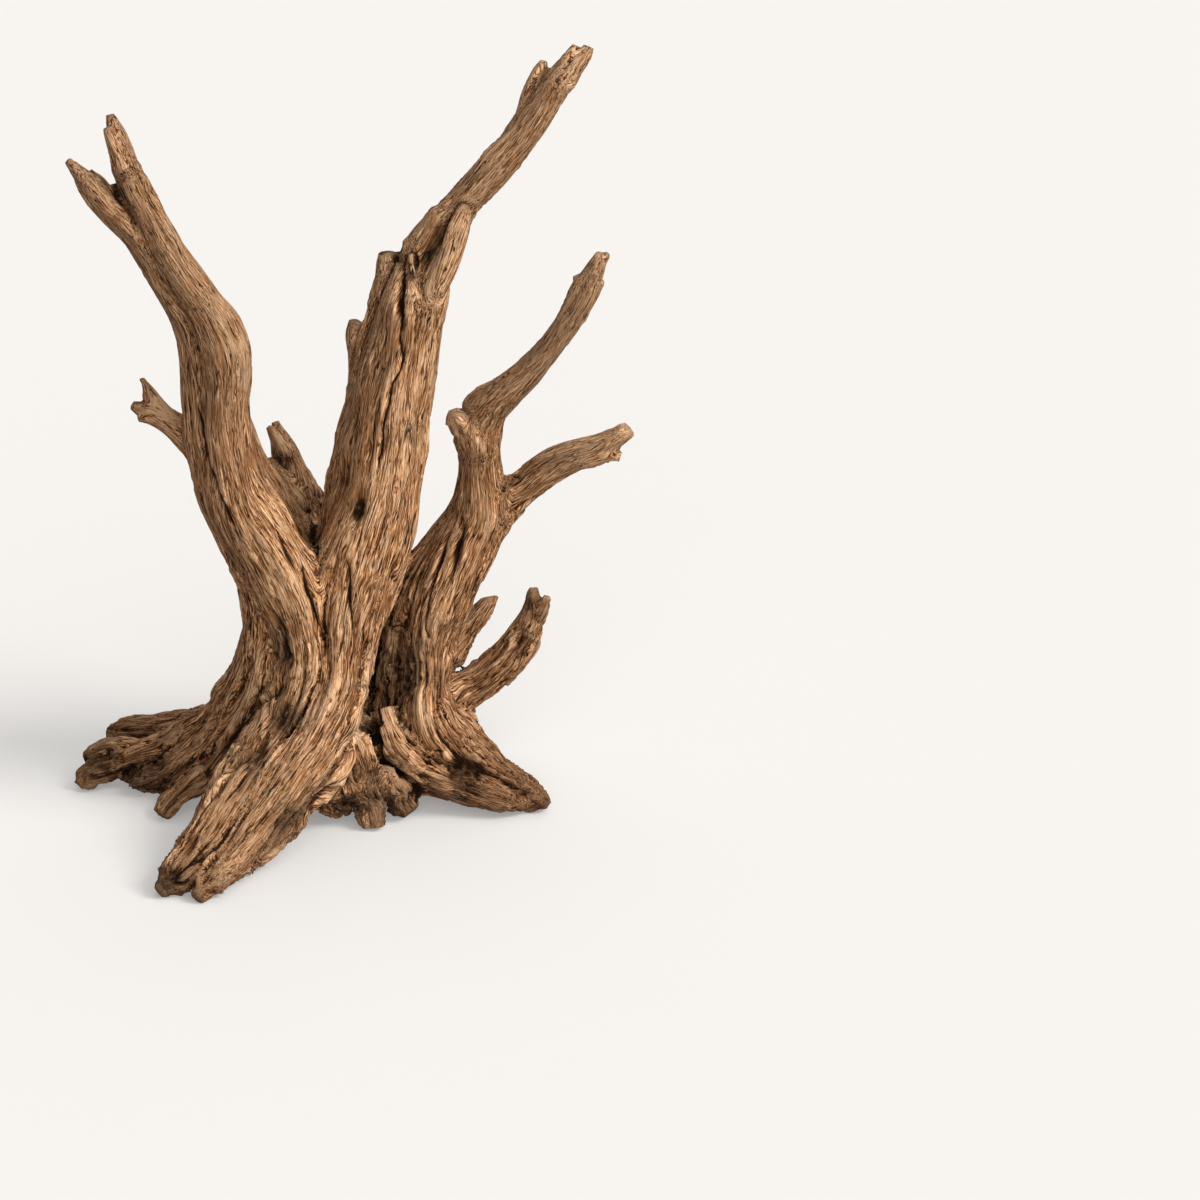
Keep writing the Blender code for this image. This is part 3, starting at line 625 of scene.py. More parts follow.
# %% [markdown]
# ## Drying splits
#
# Wood shrinks more round its rings than across them, so a drying limb splits along the grain. The
# long splits are routes on the surface. Each nearby point learns how far to the left or right of
# the split it lies. The sign matters later: a value that passes through zero can draw a line
# thinner than a triangle, and a distance that only touches zero cannot.

# %% Place the splits
# Each row: half width and depth of the groove, half width of the black line in it, and its places
SPLITS = [
    (1.4, 1.8, 0.45, [
        (42, 6, 279), (42, -3, 260), (42, -6, 239), (42, -8, 229), (37, -11, 221),
        (36, -11, 214), (33, -13, 202), (32, -15, 190), (29, -18, 176),
    ]),
    (2.4, 3.5, 0.9, [(42, 8, 283), (42, 2, 268), (42, -5, 252), (42, -6, 244)]),
    (2.0, 2.5, 0.7, [(-84, -29, 330), (-80, -29, 320), (-76, -28, 311)]),
    (1.8, 2.4, 0.6, [(15, -26, 140), (16, -30, 124), (17, -32, 113), (17, -33, 100)]),
    (1.8, 2.4, 0.6, [(14, -33, 108), (12, -35, 100), (11, -36, 93), (8, -38, 87)]),
    (1.8, 2.4, 0.6, [(-20, -22, 157), (-14, -26, 142), (-9, -29, 130)]),
    (1.8, 2.4, 0.6, [(-10, -22, 140), (-5, -29, 126), (-1, -32, 112), (0, -33, 99)]),
    (2.0, 2.0, 0.7, [(-63, -107, 12), (-55, -104, 17), (-45, -97, 22), (-39, -88, 27), (-34, -81, 32)]),
    (1.8, 2.2, 0.6, [(-54, -11, 214), (-52, -12, 189), (-44, -18, 165), (-34, -25, 145)]),
    (1.8, 2.4, 0.6, [(65, 13, 142), (57, 4, 125), (52, -2, 106), (50, -4, 85)]),
    (3.6, 4.5, 0.6, [(-12, -41, 74), (-17, -45, 67), (-25, -53, 58), (-32, -64, 48), (-44, -80, 34)]),
    (4.0, 6.0, 1.2, [(31, 0, 67), (27, -6, 50), (26, -26, 41), (28, -27, 30)]),
    (3.4, 4.5, 0.8, [(-16, -31, 88), (-22, -35, 71), (-42, -23, 44), (-56, -23, 26)]),
    (2.6, 4.0, 0.6, [(69, 10, 145), (66, 4, 128), (62, -1, 112)]),
    (2.6, 4.0, 0.8, [(56, -26, 42), (66, -29, 34), (80, -28, 22)]),
    (2.6, 4.0, 0.6, [(26, 38, 110), (28, 37, 150), (34, 36, 190), (39, 33, 225)]),
    (2.6, 4.0, 0.6, [(-22, 33, 80), (-25, 30, 120), (-36, 22, 160)]),
    (2.6, 4.0, 0.6, [(60, 42, 80), (68, 40, 112), (78, 36, 140)]),
]
SPLIT_STEP = 0.7
SPLIT_SEEN = 6.0  # how far from a split its marks are kept
SPLIT_FADE = 16.0  # the length over which its ends close
SPLIT_WANDER = 0.9  # how far its line wanders from side to side


def split_marks(points, out):
    """For each split: the points near it, their signed distance sideways and how open it is."""
    marks = []
    for width, depth, line, places in SPLITS:
        route, along = smooth_route([(*place, 0) for place in places], SPLIT_STEP)
        route, heading = route[:, :3], unit(np.gradient(route[:, :3], axis=0))
        inside = (points > route.min(0) - SPLIT_SEEN) & (points < route.max(0) + SPLIT_SEEN)
        close = np.flatnonzero(inside.all(1))
        gap = points[close, None] - route[None]
        i = (gap**2).sum(2).argmin(1)
        gap = gap[np.arange(len(close)), i]
        sideways = (gap * unit(np.cross(heading[i], out[close]))).sum(1)
        sideways += SPLIT_WANDER * noise(points[close], 7.0, 7.0, 15)
        ends = np.minimum(along[i], along[-1] - along[i]) / SPLIT_FADE
        past = abs((gap * heading[i]).sum(1)) / 1.5
        deep = abs((gap * out[close]).sum(1)) / SPLIT_SEEN
        opened = np.clip(ends, 0, 1) * np.clip(2 - past, 0, 1) * np.clip(2 - 2 * deep, 0, 1)
        marks.append((close, sideways, opened, width, depth, line))
    return marks


print(len(SPLITS), "splits")

# %% [markdown]
# ## Torn tips
#
# Limbs break by tearing, so their ends are bundles of splinters. The free ends are found by asking
# which strand ends no other strand covers, so none has to be listed by hand. Near them the furrows
# get deep and narrow.

# %% Find the free tips
TIP_SAMPLES = 5
TEAR_REACH, TEAR_DEPTH, TEAR_CELL, TEAR_LENGTH = 26.0, 2.4, 4.2, 90.0


def free_tips():
    """The ends of strands that no other strand covers, each as the centres and radii of its samples."""
    ends = np.array([strand.centre[i] for strand in strands for i in (0, -1)])
    owner = np.repeat(np.arange(len(strands)), 2)
    covered = np.full(len(ends), 1e3)
    for number, strand in enumerate(strands):
        others = owner != number
        covered[others] = np.minimum(covered[others], strand.near(ends[others])["distance"])
    samples = [slice(TIP_SAMPLES), slice(-1, -TIP_SAMPLES - 1, -1)] * len(strands)
    return [
        (strands[owner[i]].centre[samples[i]], strands[owner[i]].radius[samples[i]])
        for i in np.flatnonzero(covered > -1)
    ]


def torn_at(points):
    """How near to a torn tip the wood is, from 0 to 1."""
    torn = np.zeros(len(points))
    for centre, _ in TIPS:
        torn = np.maximum(torn, 1 - np.linalg.norm(points - centre[0], axis=1) / TEAR_REACH)
    return torn


TIPS = free_tips()
print(len(TIPS), "free tips")

# %% [markdown]
# ## The whole relief
#
# Coarse ridges come first and finer ones ride on them. The roots are more rugged than the limbs,
# because they lay longer in wet ground. Thin layers end in small steps, cracks open in some
# patches, and rot crumbles. Everything is a height over the smooth wood, so it can all be added
# up.

# %% Add up the relief
# Ridges: cell across the grain, cell along it, height, seed
RIDGES = [(15.0, 90.0, 3.2, 1), (8.0, 60.0, 2.2, 2)]
FINE_RIDGES = [(4.6, 46.0, 1.6, 3), (2.8, 26.0, 1.2, 4), (1.8, 16.0, 0.6, 9)]
FURROW_MEAN = 0.4
PLATES = [(9.0, 60.0, 1.3, 16), (4.2, 30.0, 0.9, 17)]  # cell across, cell along, step, seed
RUGGED_LOW, RUGGED_HIGH = 1.6, 0.55  # share of the ridges' height on the roots and on the limbs
RUGGED_FROM, RUGGED_TO = 60.0, 150.0
LUMP_CELL, LUMP_HEIGHT = 22.0, 1.6
KNOB_CELL, KNOB_HEIGHT = 9.0, 1.5
CRACK_CELL, CRACK_LENGTH, CRACK_DEPTH, CRACK_EDGE = 7.5, 80.0, 2.4, 0.07
CRUMB_CELL, CRUMB_DEPTH = 4.0, 3.2


def relief_height(points, wood):
    """Height of the weathered surface over the smooth wood, from the ridges down to the cracks."""
    slim = np.clip(wood["radius"] / 14, 0.25, 1)
    slight = np.clip(wood["radius"] / 9, 0.35, 1)
    grain, fibres = wood["grain"], wavy(wood["flow"])
    rugged = np.interp(points[:, 2], (RUGGED_FROM, RUGGED_TO), (RUGGED_LOW, RUGGED_HIGH))
    rugged = rugged * (1 + 0.4 * noise(points, 40.0, 40.0, 14))
    height = LUMP_HEIGHT * slim * noise(points, LUMP_CELL, LUMP_CELL, 5)
    knobs = np.interp(points[:, 2], (20, 80), (1, 0)) * slim
    height += KNOB_HEIGHT * knobs * noise(points, KNOB_CELL, KNOB_CELL, 18)
    for across, along, size, seed in RIDGES:
        height += size * slim * rugged * (furrows(grain, across, along, seed) - 0.5)
    for across, along, size, seed in FINE_RIDGES:
        height += size * slight * rugged * (furrows(fibres, across, along, seed) - FURROW_MEAN)
    for across, along, size, seed in PLATES:
        height += 0.5 * size * slight * rugged * plates(fibres, across, along, seed)
    crack = abs(noise(fibres, CRACK_CELL, CRACK_LENGTH, 6))
    open_here = np.clip(3 * noise(grain, 20.0, 60.0, 7) - 0.3, 0, 1)
    height -= CRACK_DEPTH * slight * open_here * np.clip(1 - crack / CRACK_EDGE, 0, 1)
    torn = torn_at(points) * slight
    height += TEAR_DEPTH * torn * (furrows(fibres, TEAR_CELL, TEAR_LENGTH, 12) - FURROW_MEAN)
    height += TEAR_DEPTH * torn * noise(grain, TEAR_CELL, 10 * TEAR_LENGTH, 13)
    height -= CRUMB_DEPTH * rot_at(points) * slight * abs(noise(points, CRUMB_CELL, CRUMB_CELL, 8))
    for centre, length, width, depth in HOLLOW_PLACES:
        apart = (((grain - centre) / (width, width, length)) ** 2).sum(1)
        height -= depth * np.exp(-np.minimum(apart**1.5, 20))
    for close, sideways, opened, width, depth, _ in split_marks(points, unit(wood["out"])):
        groove = np.clip(1 - (sideways / width) ** 2, 0, 1)
        height[close] -= depth * opened * groove
    return height


neck = np.array([[0, -30, NECK_HEIGHT]])
print("relief on the front of the neck", relief_height(neck, wood_at(neck, strands)).round(2), "mm")

# %% [markdown]
# ## Moving meshes in and out of numpy
#
# The skin has hundreds of thousands of points, and a Python loop over them would take minutes.
# foreach_get and foreach_set copy them all at once into an array, where the whole surface can be
# moved in one sum. Relaxing, which moves each point towards its neighbours, only needs the list of
# edges.

# %% Mesh helpers
def evaluated_mesh(thing):
    """The mesh of an object as its modifiers leave it."""
    graph = bpy.context.evaluated_depsgraph_get()
    return bpy.data.meshes.new_from_object(thing.evaluated_get(graph))


def vertices_of(mesh):
    """Vertex positions in the tables' millimetres."""
    flat = np.empty(len(mesh.vertices) * 3, np.float32)
    mesh.vertices.foreach_get("co", flat)
    return flat.reshape(-1, 3).astype(float) / MM + MIDDLE


def set_vertices(mesh, points):
    """Moves the vertices to positions in the tables' millimetres."""
    mesh.vertices.foreach_set("co", ((points - MIDDLE) * MM).astype(np.float32).ravel())
    mesh.update()


def edges_of(mesh):
    """The mesh's edges as pairs of vertex numbers."""
    edges = np.empty(len(mesh.edges) * 2, np.int32)
    mesh.edges.foreach_get("vertices", edges)
    return edges.reshape(-1, 2)


def relaxed(values, edges, share=0.5):
    """Each row moved by a share towards the mean of its neighbours."""
    count = np.bincount(edges.ravel(), minlength=len(values))
    total = np.stack([
        np.bincount(edges[:, 0], column[edges[:, 1]], len(values))
        + np.bincount(edges[:, 1], column[edges[:, 0]], len(values))
        for column in values.T
    ], 1)
    return values + share * (total / count[:, None] - values)


packed_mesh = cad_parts["driftwood"].data
print("the packed solid has", len(packed_mesh.polygons), "faces")

# %% [markdown]
# ## Growths and tips join the solid
#
# The settling further on can only move points that are there. So each small growth, and each thin
# tip that the packed solid had to leave blunt, is joined to a copy of it as a rough tube. A voxel
# remesh then fuses all of it into one even skin, which a boolean union of so many overlapping
# tubes would do less surely.

# %% Remesh the solid with its growths
FINE_VOXEL = 1.02
TUBE_ROUNDNESS = 3


def tube(centres, radii):
    """A round tube along a route, as a curve with a radius at each sample."""
    curve = bpy.data.curves.new("growth", "CURVE")
    curve.dimensions = "3D"
    curve.bevel_depth = MM
    curve.bevel_resolution = TUBE_ROUNDNESS
    curve.use_fill_caps = True
    spline = curve.splines.new("POLY")
    spline.points.add(len(centres) - 1)
    for point, centre, radius in zip(spline.points, centres, radii):
        point.co = (*((centre - MIDDLE) * MM), 1)
        point.radius = radius
    made = bpy.data.objects.new("growth", curve)
    bpy.context.scene.collection.objects.link(made)
    return made


def with_growths(mesh, growths):
    """The mesh with a tube for each small growth."""
    bm = bmesh.new()
    bm.from_mesh(mesh)
    for centres, radii in growths:
        rough = tube(centres, radii)
        bm.from_mesh(evaluated_mesh(rough))
        bpy.data.objects.remove(rough)
    joined = bpy.data.meshes.new("driftwood_skin")
    bm.to_mesh(joined)
    bm.free()
    return joined


growths = [(strand.centre, strand.radius) for strand in strands[-len(ADDED):]] + TIPS
skin = bpy.data.objects.new("driftwood_skin", with_growths(packed_mesh, growths))
bpy.context.scene.collection.objects.link(skin)
skin.data.materials.clear()
remesh = skin.modifiers.new("voxels", "REMESH")
remesh.mode = "VOXEL"
remesh.voxel_size = FINE_VOXEL * MM
skin.data = evaluated_mesh(skin)
skin.modifiers.clear()
print("remeshed", len(skin.data.vertices), "points at", round(time.time() - started, 1), "s")

# %% [markdown]
# ## Settling onto the weathered surface
#
# Each point moves along the wood's own way out until it lies on the weathered surface, and no
# point goes below the board. Displacing by a texture could not do this, because a ridge has to
# follow the grain round every bend. The moves are held short and repeated, with a little relaxing
# at first, so the mesh stays even.

# %% Settle the skin
SETTLE_TURNS, RELAXED_TURNS = 5, 3
LONGEST_PUSH = 2.0

edges = edges_of(skin.data)
points = vertices_of(skin.data)
floor_height = MIDDLE[2]
for turn in range(SETTLE_TURNS):
    if turn < RELAXED_TURNS:
        points = relaxed(points, edges)
    wood = wood_at(points, strands)
    push = np.clip(wood["distance"] - relief_height(points, wood), -LONGEST_PUSH, LONGEST_PUSH)
    points -= push[:, None] * unit(wood["out"])
    points[:, 2] = np.maximum(points[:, 2], floor_height)
    print("turn", turn, "mean push", round(abs(push).mean(), 3), "mm")
set_vertices(skin.data, points)
print("settled at", round(time.time() - started, 1), "s")

# %% [markdown]
# ## Spending the triangles
#
# The even skin has more triangles than it needs on smooth stretches. Decimate takes them away
# where the surface is flattest and keeps them on the ridges. It can leave a doubled or loose
# triangle behind, which would spoil the mesh for anyone who prints it, so those are dropped.

# %% Thin out the skin
MOST_TRIANGLES = 196000


def drop_strays(mesh):
    """Deletes the few triangles that decimation leaves doubled or joined to nothing."""
    mesh.validate()
    bm = bmesh.new()
    bm.from_mesh(mesh)
    strays = [face for face in bm.faces if all(len(edge.link_faces) < 2 for edge in face.edges)]
    bmesh.ops.delete(bm, geom=strays, context="FACES")
    bm.to_mesh(mesh)
    bm.free()
    print("stray triangles dropped:", len(strays))


thin_out = skin.modifiers.new("thin_out", "DECIMATE")
skin.data.calc_loop_triangles()
thin_out.ratio = min(1, MOST_TRIANGLES / len(skin.data.loop_triangles))
thin_out.use_collapse_triangulate = True
skin.data = evaluated_mesh(skin)
skin.modifiers.clear()
drop_strays(skin.data)
skin.data.shade_smooth()
print("skin has", len(skin.data.polygons), "triangles at", round(time.time() - started, 1), "s")

# %% [markdown]
# ## What the material needs to know
#
# A material can't ask the strands, so each point of the skin carries the answers as attributes:
# the grain coordinates, how deep it lies in a crease or hollow, how rotten it is and how far it is
# from a split. The crease depth compares a point with a smoothed copy of the skin: where the
# smoothed skin lies outside it, dirt collects and the material paints shade there. The distance
# from a split has a sign, so it passes through zero in the split and a thin sharp line can be drawn
# there.

# %% Attributes on the skin
CREASE_TURNS, HOLLOW_TURNS = 8, 60  # a narrow and a wide smoothing


def store(mesh, name, values):
    """Keeps one number or vector for each point of the mesh."""
    vector = values.ndim > 1
    attribute = mesh.attributes.new(name, "FLOAT_VECTOR" if vector else "FLOAT", "POINT")
    attribute.data.foreach_set("vector" if vector else "value", values.astype(np.float32).ravel())


def crease_depth(points, edges, out, turns):
    """How far a smoothed copy of the skin lies outside each point."""
    smooth = points
    for _ in range(turns):
        smooth = relaxed(smooth, edges, 0.7)
    return ((smooth - points) * out).sum(1)


def split_attribute(points, out):
    """Signed distance from the nearest split in half widths of its line, and how open it is."""
    nearest = np.full(len(points), SPLIT_SEEN)
    values = np.zeros((len(points), 3))
    values[:, 0] = SPLIT_SEEN
    for close, sideways, opened, _, _, line in split_marks(points, out):
        here = (abs(sideways) < nearest[close]) & (opened > 0)
        index = close[here]
        nearest[index] = abs(sideways[here])
        falloff = np.clip(3 - abs(sideways[here]) / 1.5, 0, 1)
        values[index, 0] = sideways[here] / line
        values[index, 1] = opened[here] * falloff
    return values


points = vertices_of(skin.data)
edges = edges_of(skin.data)
wood = wood_at(points, strands)
out = unit(wood["out"])
store(skin.data, "grain", wood["grain"])
store(skin.data, "flow", wood["flow"])
store(skin.data, "crease", crease_depth(points, edges, out, CREASE_TURNS))
store(skin.data, "hollow", crease_depth(points, edges, out, HOLLOW_TURNS))
store(skin.data, "rot", rot_at(points))
store(skin.data, "split", split_attribute(points, out))
print("attributes at", round(time.time() - started, 1), "s")

# %% [markdown]
# ## Shader maths as plain sums
#
# A wood material is mostly arithmetic: noises added, scaled and cut off. Written node by node that
# is hard to read, so a small class wraps a socket and lets +, - and * add the Math nodes.
# Everything that isn't a sum comes from one method that takes the node's type, its settings and
# its sockets.

# %% A wire that can be used in sums


class Wire:
    """An output socket of the material being built, usable in sums."""

    tree = None

    def __init__(self, socket):
        self.socket = socket

    @classmethod
    def node(cls, kind, settings=None, sockets=None, out=0):
        """Adds a node: its settings first, then the values or wires of its sockets."""
        made = cls.tree.nodes.new(kind)
        for name, value in (settings or {}).items():
            if name == "stops":
                cls.set_stops(made.color_ramp, value)
            else:
                setattr(made, name, value)
        for key, value in (sockets or {}).items():
            if isinstance(value, Wire):
                cls.tree.links.new(value.socket, made.inputs[key])
            else:
                made.inputs[key].default_value = value
        return cls(made.outputs[out])

    @staticmethod
    def set_stops(ramp, stops):
        """Sets a colour ramp's stops from pairs of a place and a colour."""
        while len(ramp.elements) < len(stops):
            ramp.elements.new(1)
        for element, (place, colour) in zip(ramp.elements, stops):
            element.position, element.color = place, (*colour, 1)

    def math(self, operation, *others, clamp=False):
        """A Math node of this wire and the others."""
        sockets = dict(enumerate((self, *others)))
        return self.node("ShaderNodeMath", {"operation": operation, "use_clamp": clamp}, sockets)

    def __add__(self, other):
        return self.math("ADD", other)

    def __sub__(self, other):
        return self.math("SUBTRACT", other)

    def __mul__(self, other):
        return self.math("MULTIPLY", other)

    def __rsub__(self, other):
        return (self * -1) + other

    def __abs__(self):
        return self.math("ABSOLUTE")

    __radd__ = __add__
    __rmul__ = __mul__

    def clamped(self):
        """The value held between 0 and 1."""
        return self.math("ADD", 0.0, clamp=True)

    def between(self, low, high):
        """0 at low, 1 at high and smooth between."""
        settings = {"interpolation_type": "SMOOTHSTEP"}
        return self.node("ShaderNodeMapRange", settings, {0: self, 1: low, 2: high, 3: 0.0, 4: 1.0})


print("a wire knows", [name for name in vars(Wire) if not name.startswith("_")])

# %% [markdown]
# ## Nodes that recur
#
# A few nodes come back all through the material: an attribute of the skin, a vector scaled or
# shifted, a noise, a thin line and a mix of two colours. Colours and vectors have nodes of their
# own, because a Math node would turn a colour grey. Scaling a vector by one number across the
# grain and another along it is what makes a round noise into a fibre.

# %% Helpers for nodes, and a new material
def attribute(name, out=2):
    """An attribute of the skin: its number, or with out=1 its vector."""
    return Wire.node("ShaderNodeAttribute", {"attribute_name": name}, out=out)


def scaled(vector, factors):
    """A vector multiplied by a vector."""
    return Wire.node("ShaderNodeVectorMath", {"operation": "MULTIPLY"}, {0: vector, 1: factors})


def shifted(vector, by):
    """The sum of two vectors."""
    return Wire.node("ShaderNodeVectorMath", {"operation": "ADD"}, {0: vector, 1: by})


def along_grain(vector, across, along):
    """The vector in cells of a width across the grain and a length along it."""
    return scaled(vector, (1 / across, 1 / across, 1 / along))


def cloud(vector, detail=2.0, roughness=0.5, out=0):
    """Noise from 0 to 1 at the vector's own scale."""
    sockets = {"Vector": vector, "Scale": 1.0, "Detail": detail, "Roughness": roughness}
    return Wire.node("ShaderNodeTexNoise", {}, sockets, out)


def mixed(share, first, second, blend="MIX"):
    """One colour turning into another."""
    settings = {"data_type": "RGBA", "blend_type": blend}
    return Wire.node("ShaderNodeMix", settings, {0: share, 6: first, 7: second}, 2)


def furrow(vector, across, along, width):
    """Thin lines at 1 where a noise drawn out along the grain crosses its middle."""
    return 1 - abs(cloud(along_grain(vector, across, along), 1.0) - 0.5).between(0.0, width)


wood_finish = bpy.data.materials.new("weathered_wood")
wood_finish.use_nodes = True
Wire.tree = wood_finish.node_tree
shader = principled(wood_finish)

grain, flow = attribute("grain", 1), attribute("flow", 1)
crease, hollow, rot = attribute("crease"), attribute("hollow"), attribute("rot")
place = scaled(Wire.node("ShaderNodeTexCoord", out=3), (1 / MM,) * 3)
print("the material starts with", len(Wire.tree.nodes), "nodes")

# %% [markdown]
# ## Fibres
#
# Close up, driftwood is thousands of fibres, and they wander. The flow coordinates are pushed from
# side to side by two waves first, so no fibre runs dead straight. Noises of several widths are
# then read from them: broad bands, single fibres and thin threads. Two more, in plain millimetres,
# give patches that don't follow the grain.

# %% Fibres of several widths
CENTRED = (-0.5, -0.5, -0.5)
wave = shifted(cloud(along_grain(flow, 9.0, 30.0), 2.0, out=1), CENTRED)
wobble = shifted(cloud(along_grain(flow, 2.6, 12.0), 1.0, out=1), CENTRED)
fibres = shifted(flow, scaled(wave, (5.0, 5.0, 0.0)))
fibres = shifted(fibres, scaled(wobble, (1.0, 1.0, 0.0)))
broad = cloud(along_grain(fibres, 5.0, 60.0), 3.0, 0.6)
fibre = cloud(along_grain(fibres, 0.85, 24.0), 3.0, 0.65).between(0.34, 0.66)
thread = cloud(along_grain(fibres, 0.5, 11.0), 2.0, 0.6).between(0.34, 0.66)
patch = cloud(scaled(place, (1 / 34,) * 3), 3.0, 0.6)
tint = cloud(scaled(place, (1 / 19,) * 3), 3.0, 0.6)
worn = cloud(along_grain(flow, 6.0, 30.0), 2.0).between(0.38, 0.62)
print("with fibres", len(Wire.tree.nodes), "nodes")

# %% [markdown]
# ## Rings, furrow lines and layers
#
# Growth rings lie at even distances from the heart of each strand and show where the surface cuts
# them. Furrow lines, where a noise crosses its middle, are thin and long. Layers that have flaked
# off leave long plates, each a little lighter or darker than the next, and a Voronoi texture gives
# every plate one value. Worn stretches show more rings and pale lines, and fewer dark ones.

# %% Rings, lines and layers
RING_WIDTH = 1.7
heart = Wire.node("ShaderNodeVectorMath", {"operation": "LENGTH"}, {0: scaled(grain, (1, 1, 0))}, 1)
ring = heart * (1 / RING_WIDTH) + cloud(along_grain(grain, 7.0, 40.0), 3.0, 0.55) * 9.0
rings = (1 - abs(ring.math("FRACT") - 0.5).between(0.0, 0.22)) * worn
wide_lines = furrow(fibres, 4.2, 60.0, 0.030)
lines = furrow(fibres, 1.8, 42.0, 0.045) * (1.2 - worn)
fine_lines = furrow(fibres, 0.95, 24.0, 0.070)
pale_lines = furrow(shifted(fibres, (31.0, 17.0, 0.0)), 1.5, 22.0, 0.060) * worn
plate_cells = [along_grain(fibres, 2.3, 24.0), along_grain(fibres, 5.5, 50.0)]
plate_colours = [
    Wire.node("ShaderNodeTexVoronoi", {}, {"Vector": cells, "Scale": 1.0}, 1) for cells in plate_cells
]
small_plates, large_plates = [
    Wire.node("ShaderNodeSeparateColor", {}, {0: colour}) for colour in plate_colours
]
scratch = cloud(along_grain(fibres, 0.75, 12.0), 1.0, 0.5).between(0.60, 0.67)
cracked = cloud(along_grain(grain, 7.0, 24.0), 1.0).between(0.52, 0.6)
long_crack = furrow(fibres, 3.0, 44.0, 0.026) * cracked
print("with lines", len(Wire.tree.nodes), "nodes")

# %% [markdown]
# ## Insect marks and splits
#
# Insects leave small dark dashes. A Voronoi texture in cells drawn out along the grain gives one
# spot to each, and a value of the cell's own leaves most cells empty. The placed splits are drawn
# from the signed distance on the skin, with a ragged edge.

# %% Dashes and splits
dash_cells = along_grain(fibres, 3.6, 8.0)
dash = Wire.node("ShaderNodeTexVoronoi", {}, {"Vector": dash_cells, "Scale": 1.0})
dash_colour = Wire.node("ShaderNodeTexVoronoi", {}, {"Vector": dash_cells, "Scale": 1.0}, 1)
chance = Wire.node("ShaderNodeSeparateColor", {}, {0: dash_colour})
dashes = (1 - dash.between(0.08, 0.2)) * chance.between(0.70, 0.74)

split = Wire.node("ShaderNodeSeparateXYZ", {}, {0: attribute("split", 1)})
split_open = Wire.node("ShaderNodeSeparateXYZ", {}, {0: attribute("split", 1)}, 1)
ragged = (0.5 + cloud(along_grain(grain, 1.5, 3.0), 2.0)) * split_open
split_line = (1 - (abs(split) - ragged).between(-0.2, 0.2)) * split_open.between(0.02, 0.15)
print("with marks", len(Wire.tree.nodes), "nodes")

# %% [markdown]
# ## One tone for the whole surface
#
# All those masks meet in one number, the tone: high on bleached crests, low in furrows. The lift on
# crests is partly a painted highlight, and the dip in creases and hollows is painted shade. It is
# lighter higher up, on the limbs, and painted light makes it lighter on faces that look up and round
# the front of the trunk. One sum is easier to balance than a stack of mixed colours, and one ramp
# then turns it into colour.

# %% Add up the tone
TRUNK_FRONT = (-10, -70, 70)
low = Wire.node("ShaderNodeSeparateXYZ", {}, {0: place}, 2)
sideways = Wire.node("ShaderNodeSeparateXYZ", {}, {0: place})
normal = Wire.node("ShaderNodeTexCoord", out=1)
facing_right = Wire.node("ShaderNodeSeparateXYZ", {}, {0: normal})
facing_up = Wire.node("ShaderNodeSeparateXYZ", {}, {0: normal}, 2)
# painted light: a pale pool round the front of the trunk, over the front root
from_trunk = Wire.node("ShaderNodeVectorMath", {"operation": "DISTANCE"}, {0: place, 1: TRUNK_FRONT}, 1)
falloff = from_trunk.between(130.0, 40.0)
detail = (
    (fibre - 0.5) * 0.42
    + (thread - 0.5) * 0.62
    + pale_lines * 0.25
    - rings * 0.14
    - wide_lines * 0.28
    - lines * 0.27
    - fine_lines * 0.34
    - scratch * 0.34
)
tone = (
    0.695
    # painted light round the front of the trunk
    + falloff * 0.07
    + low.between(140.0, 240.0) * 0.13
    + (patch - 0.5) * 0.30
    + (broad - 0.5) * 0.36
    + (small_plates - 0.5) * 0.08
    + (large_plates - 0.5) * 0.10
    + detail * (1 + low.between(180.0, 290.0) * 0.4)
    # painted light: faces that look up are lighter
    + facing_up.between(0.0, 0.8) * 0.10
    # painted shade in creases and hollows, and a painted highlight on crests
    - crease * 0.2
    - hollow * 0.03
)
print("with the tone", len(Wire.tree.nodes), "nodes")

# %% [markdown]
# ## From tone to colour
#
# The crests are bleached to a pale tan, and the furrows between them keep a dark brown. Sun leaves
# grey patches, and a few stretches stay orange. A darker tint is multiplied over the rest: painted
# shade on the left side of the piece, on faces that look down and on faces turned to the left, and
# darker stretches towards the bottom, low on the right and in random patches of stain. Marks come
# last, because they are dark on any wood, and so does the painted shade in deep creases and hollows.

# %% Colour the wood
BLEACHED = (0.69, 0.440, 0.262)
PALE = (0.545, 0.276, 0.125)
TAN = (0.335, 0.144, 0.054)
BROWN = (0.132, 0.050, 0.0175)
DARK = (0.026, 0.011, 0.0045)
GREY = (0.22, 0.146, 0.093, 1)
ORANGE = (0.36, 0.150, 0.052, 1)
ROTTEN = (0.070, 0.037, 0.019, 1)
# colour of the painted shade in deep creases and hollows
PAINTED_SHADE_UMBER = (0.018, 0.009, 0.004, 1)
# tint multiplied over the wood as painted shade and stain
SHADE_AND_STAIN_TINT = (0.42, 0.36, 0.32, 1)
BLACK = (0.008, 0.005, 0.003, 1)

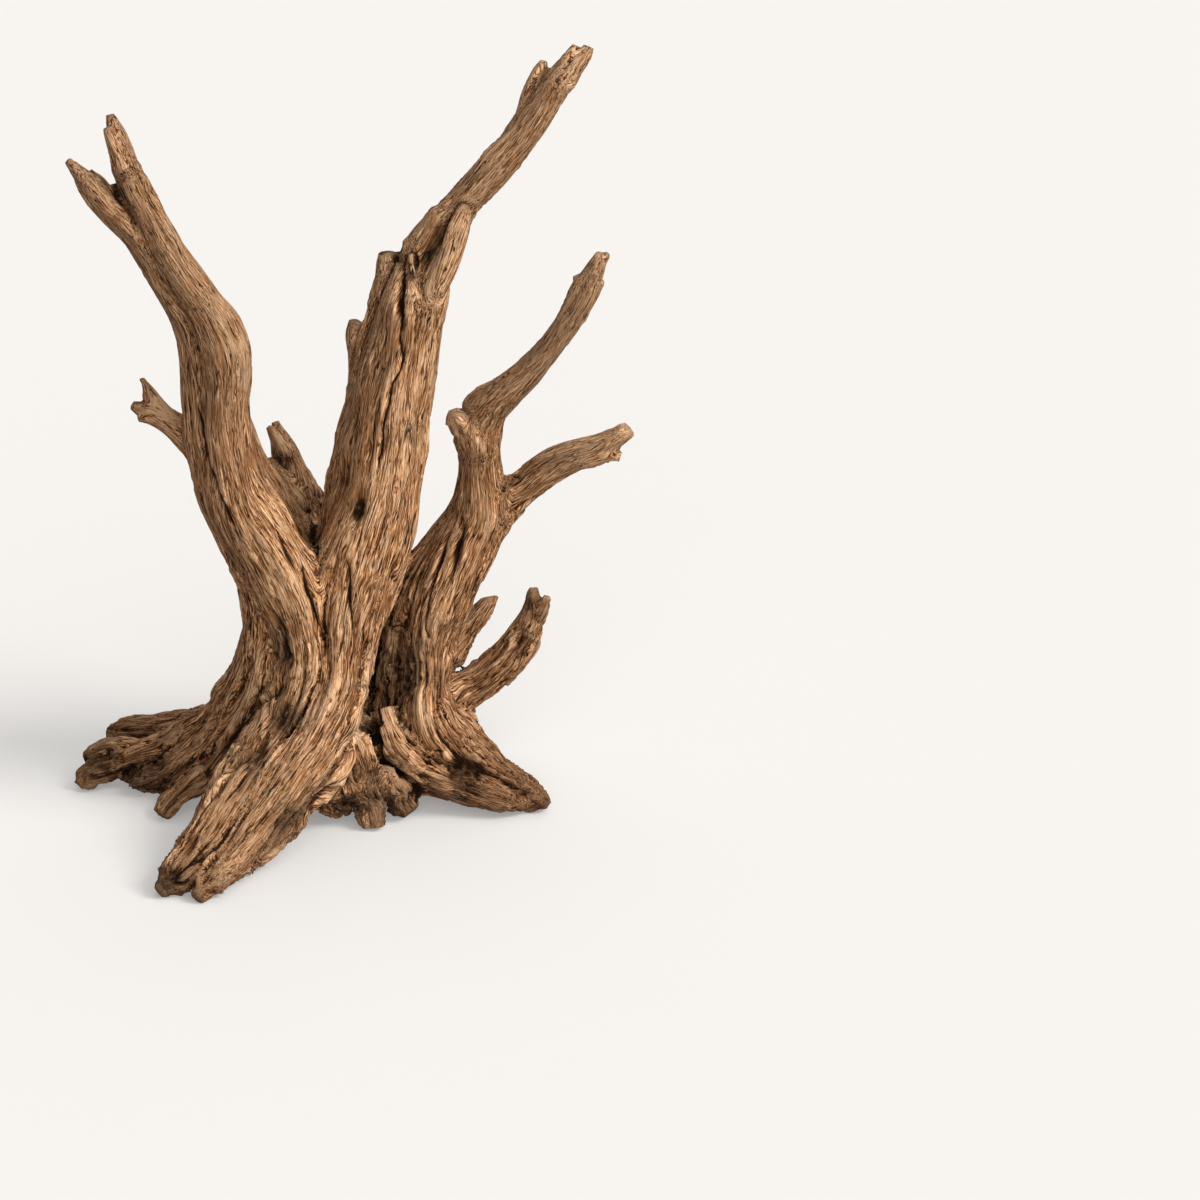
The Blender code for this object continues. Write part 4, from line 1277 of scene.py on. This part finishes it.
ramp = Wire.node(
    "ShaderNodeValToRGB",
    {"stops": [(0.0, DARK), (0.25, BROWN), (0.5, TAN), (0.75, PALE), (1.0, BLEACHED)]},
    {0: tone.clamped()},
)
greyed = mixed(patch.between(0.5, 0.7) * 0.18, ramp, GREY)
warmed = mixed(tint.between(0.52, 0.72) * 0.45, greyed, ORANGE)
crumbs = cloud(scaled(place, (1 / 1.6,) * 3), 3.0, 0.6)
# the rot's dark brown also lays painted shade low under the front of the crown
rotted = mixed((rot * (1.3 - crumbs * 1.3)).clamped(), warmed, ROTTEN)
# Painted shade on the left of the piece, on faces that look down and on faces turned left; also darker
# towards the bottom, low on the right and in random stain patches
shade_and_stain = (1 - low.between(0.0, 70.0)) * 0.35 + (1 - sideways.between(-90.0, -20.0)) * 0.38
shade_and_stain = shade_and_stain + (1 - facing_up.between(-0.8, 0.2)) * 0.4 + (1 - facing_right.between(-0.9, 0.1)) * 0.3
right_root = sideways.between(30.0, 60.0) * (1 - low.between(30.0, 90.0))
shade_and_stain = shade_and_stain + (patch - 0.5) * 0.5 + right_root * 0.7
# the darker tint laid on here is painted shade and stain
shaded_and_stained = mixed(shade_and_stain.clamped() * 0.8, rotted, mixed(1.0, rotted, SHADE_AND_STAIN_TINT, "MULTIPLY"))
marks = long_crack + dashes + split_line
marked = mixed((marks.clamped() * 0.9).clamped(), shaded_and_stained, BLACK)
# painted shade, with some dirt, in deep creases and hollows
deep = crease.between(0.35, 1.1) * 0.6 + hollow.between(1.2, 4.2) * 0.65
finished = mixed(deep.clamped(), marked, PAINTED_SHADE_UMBER)
Wire.tree.links.new(finished.socket, shader.inputs["Base Color"])
print("with colours", len(Wire.tree.nodes), "nodes")

# %% [markdown]
# ## Roughness and fine height
#
# Dry fibres scatter light, so the wood is rough all over and only a little less so on its hard
# bleached crests. The finest furrows are too small for triangles. A bump from the same masks tilts
# the light there, so that a dark line also looks sunk.

# %% Roughness and bump
BUMP_DEPTH, FAINT_SHINE = 1.0, 0.08
rough = 0.92 - tone.clamped() * 0.22
Wire.tree.links.new(rough.socket, shader.inputs["Roughness"])
shader.inputs["Specular IOR Level"].default_value = FAINT_SHINE

height = fibre * 0.42 + thread * 0.36 + broad * 0.4 - rings * 0.15 - scratch * 0.35
height = height + small_plates * 0.3 + large_plates * 0.35
height = height - wide_lines * 0.5 - lines * 0.45 - fine_lines * 0.4
height = height - long_crack * 0.8 - dashes * 0.9 - split_line * 1.4 + crumbs * rot * 0.9
bump = Wire.node("ShaderNodeBump", {}, {"Strength": 1.0, "Distance": BUMP_DEPTH * MM, "Height": height})
Wire.tree.links.new(bump.socket, shader.inputs["Normal"])
skin.data.materials.append(wood_finish)
print("the wood's material has", len(Wire.tree.nodes), "nodes")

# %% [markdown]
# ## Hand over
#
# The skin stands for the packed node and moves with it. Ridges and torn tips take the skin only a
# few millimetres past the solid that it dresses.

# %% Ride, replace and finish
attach(skin, "root")
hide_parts("driftwood")
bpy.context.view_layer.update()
print("done at", round(time.time() - started, 1), "s")
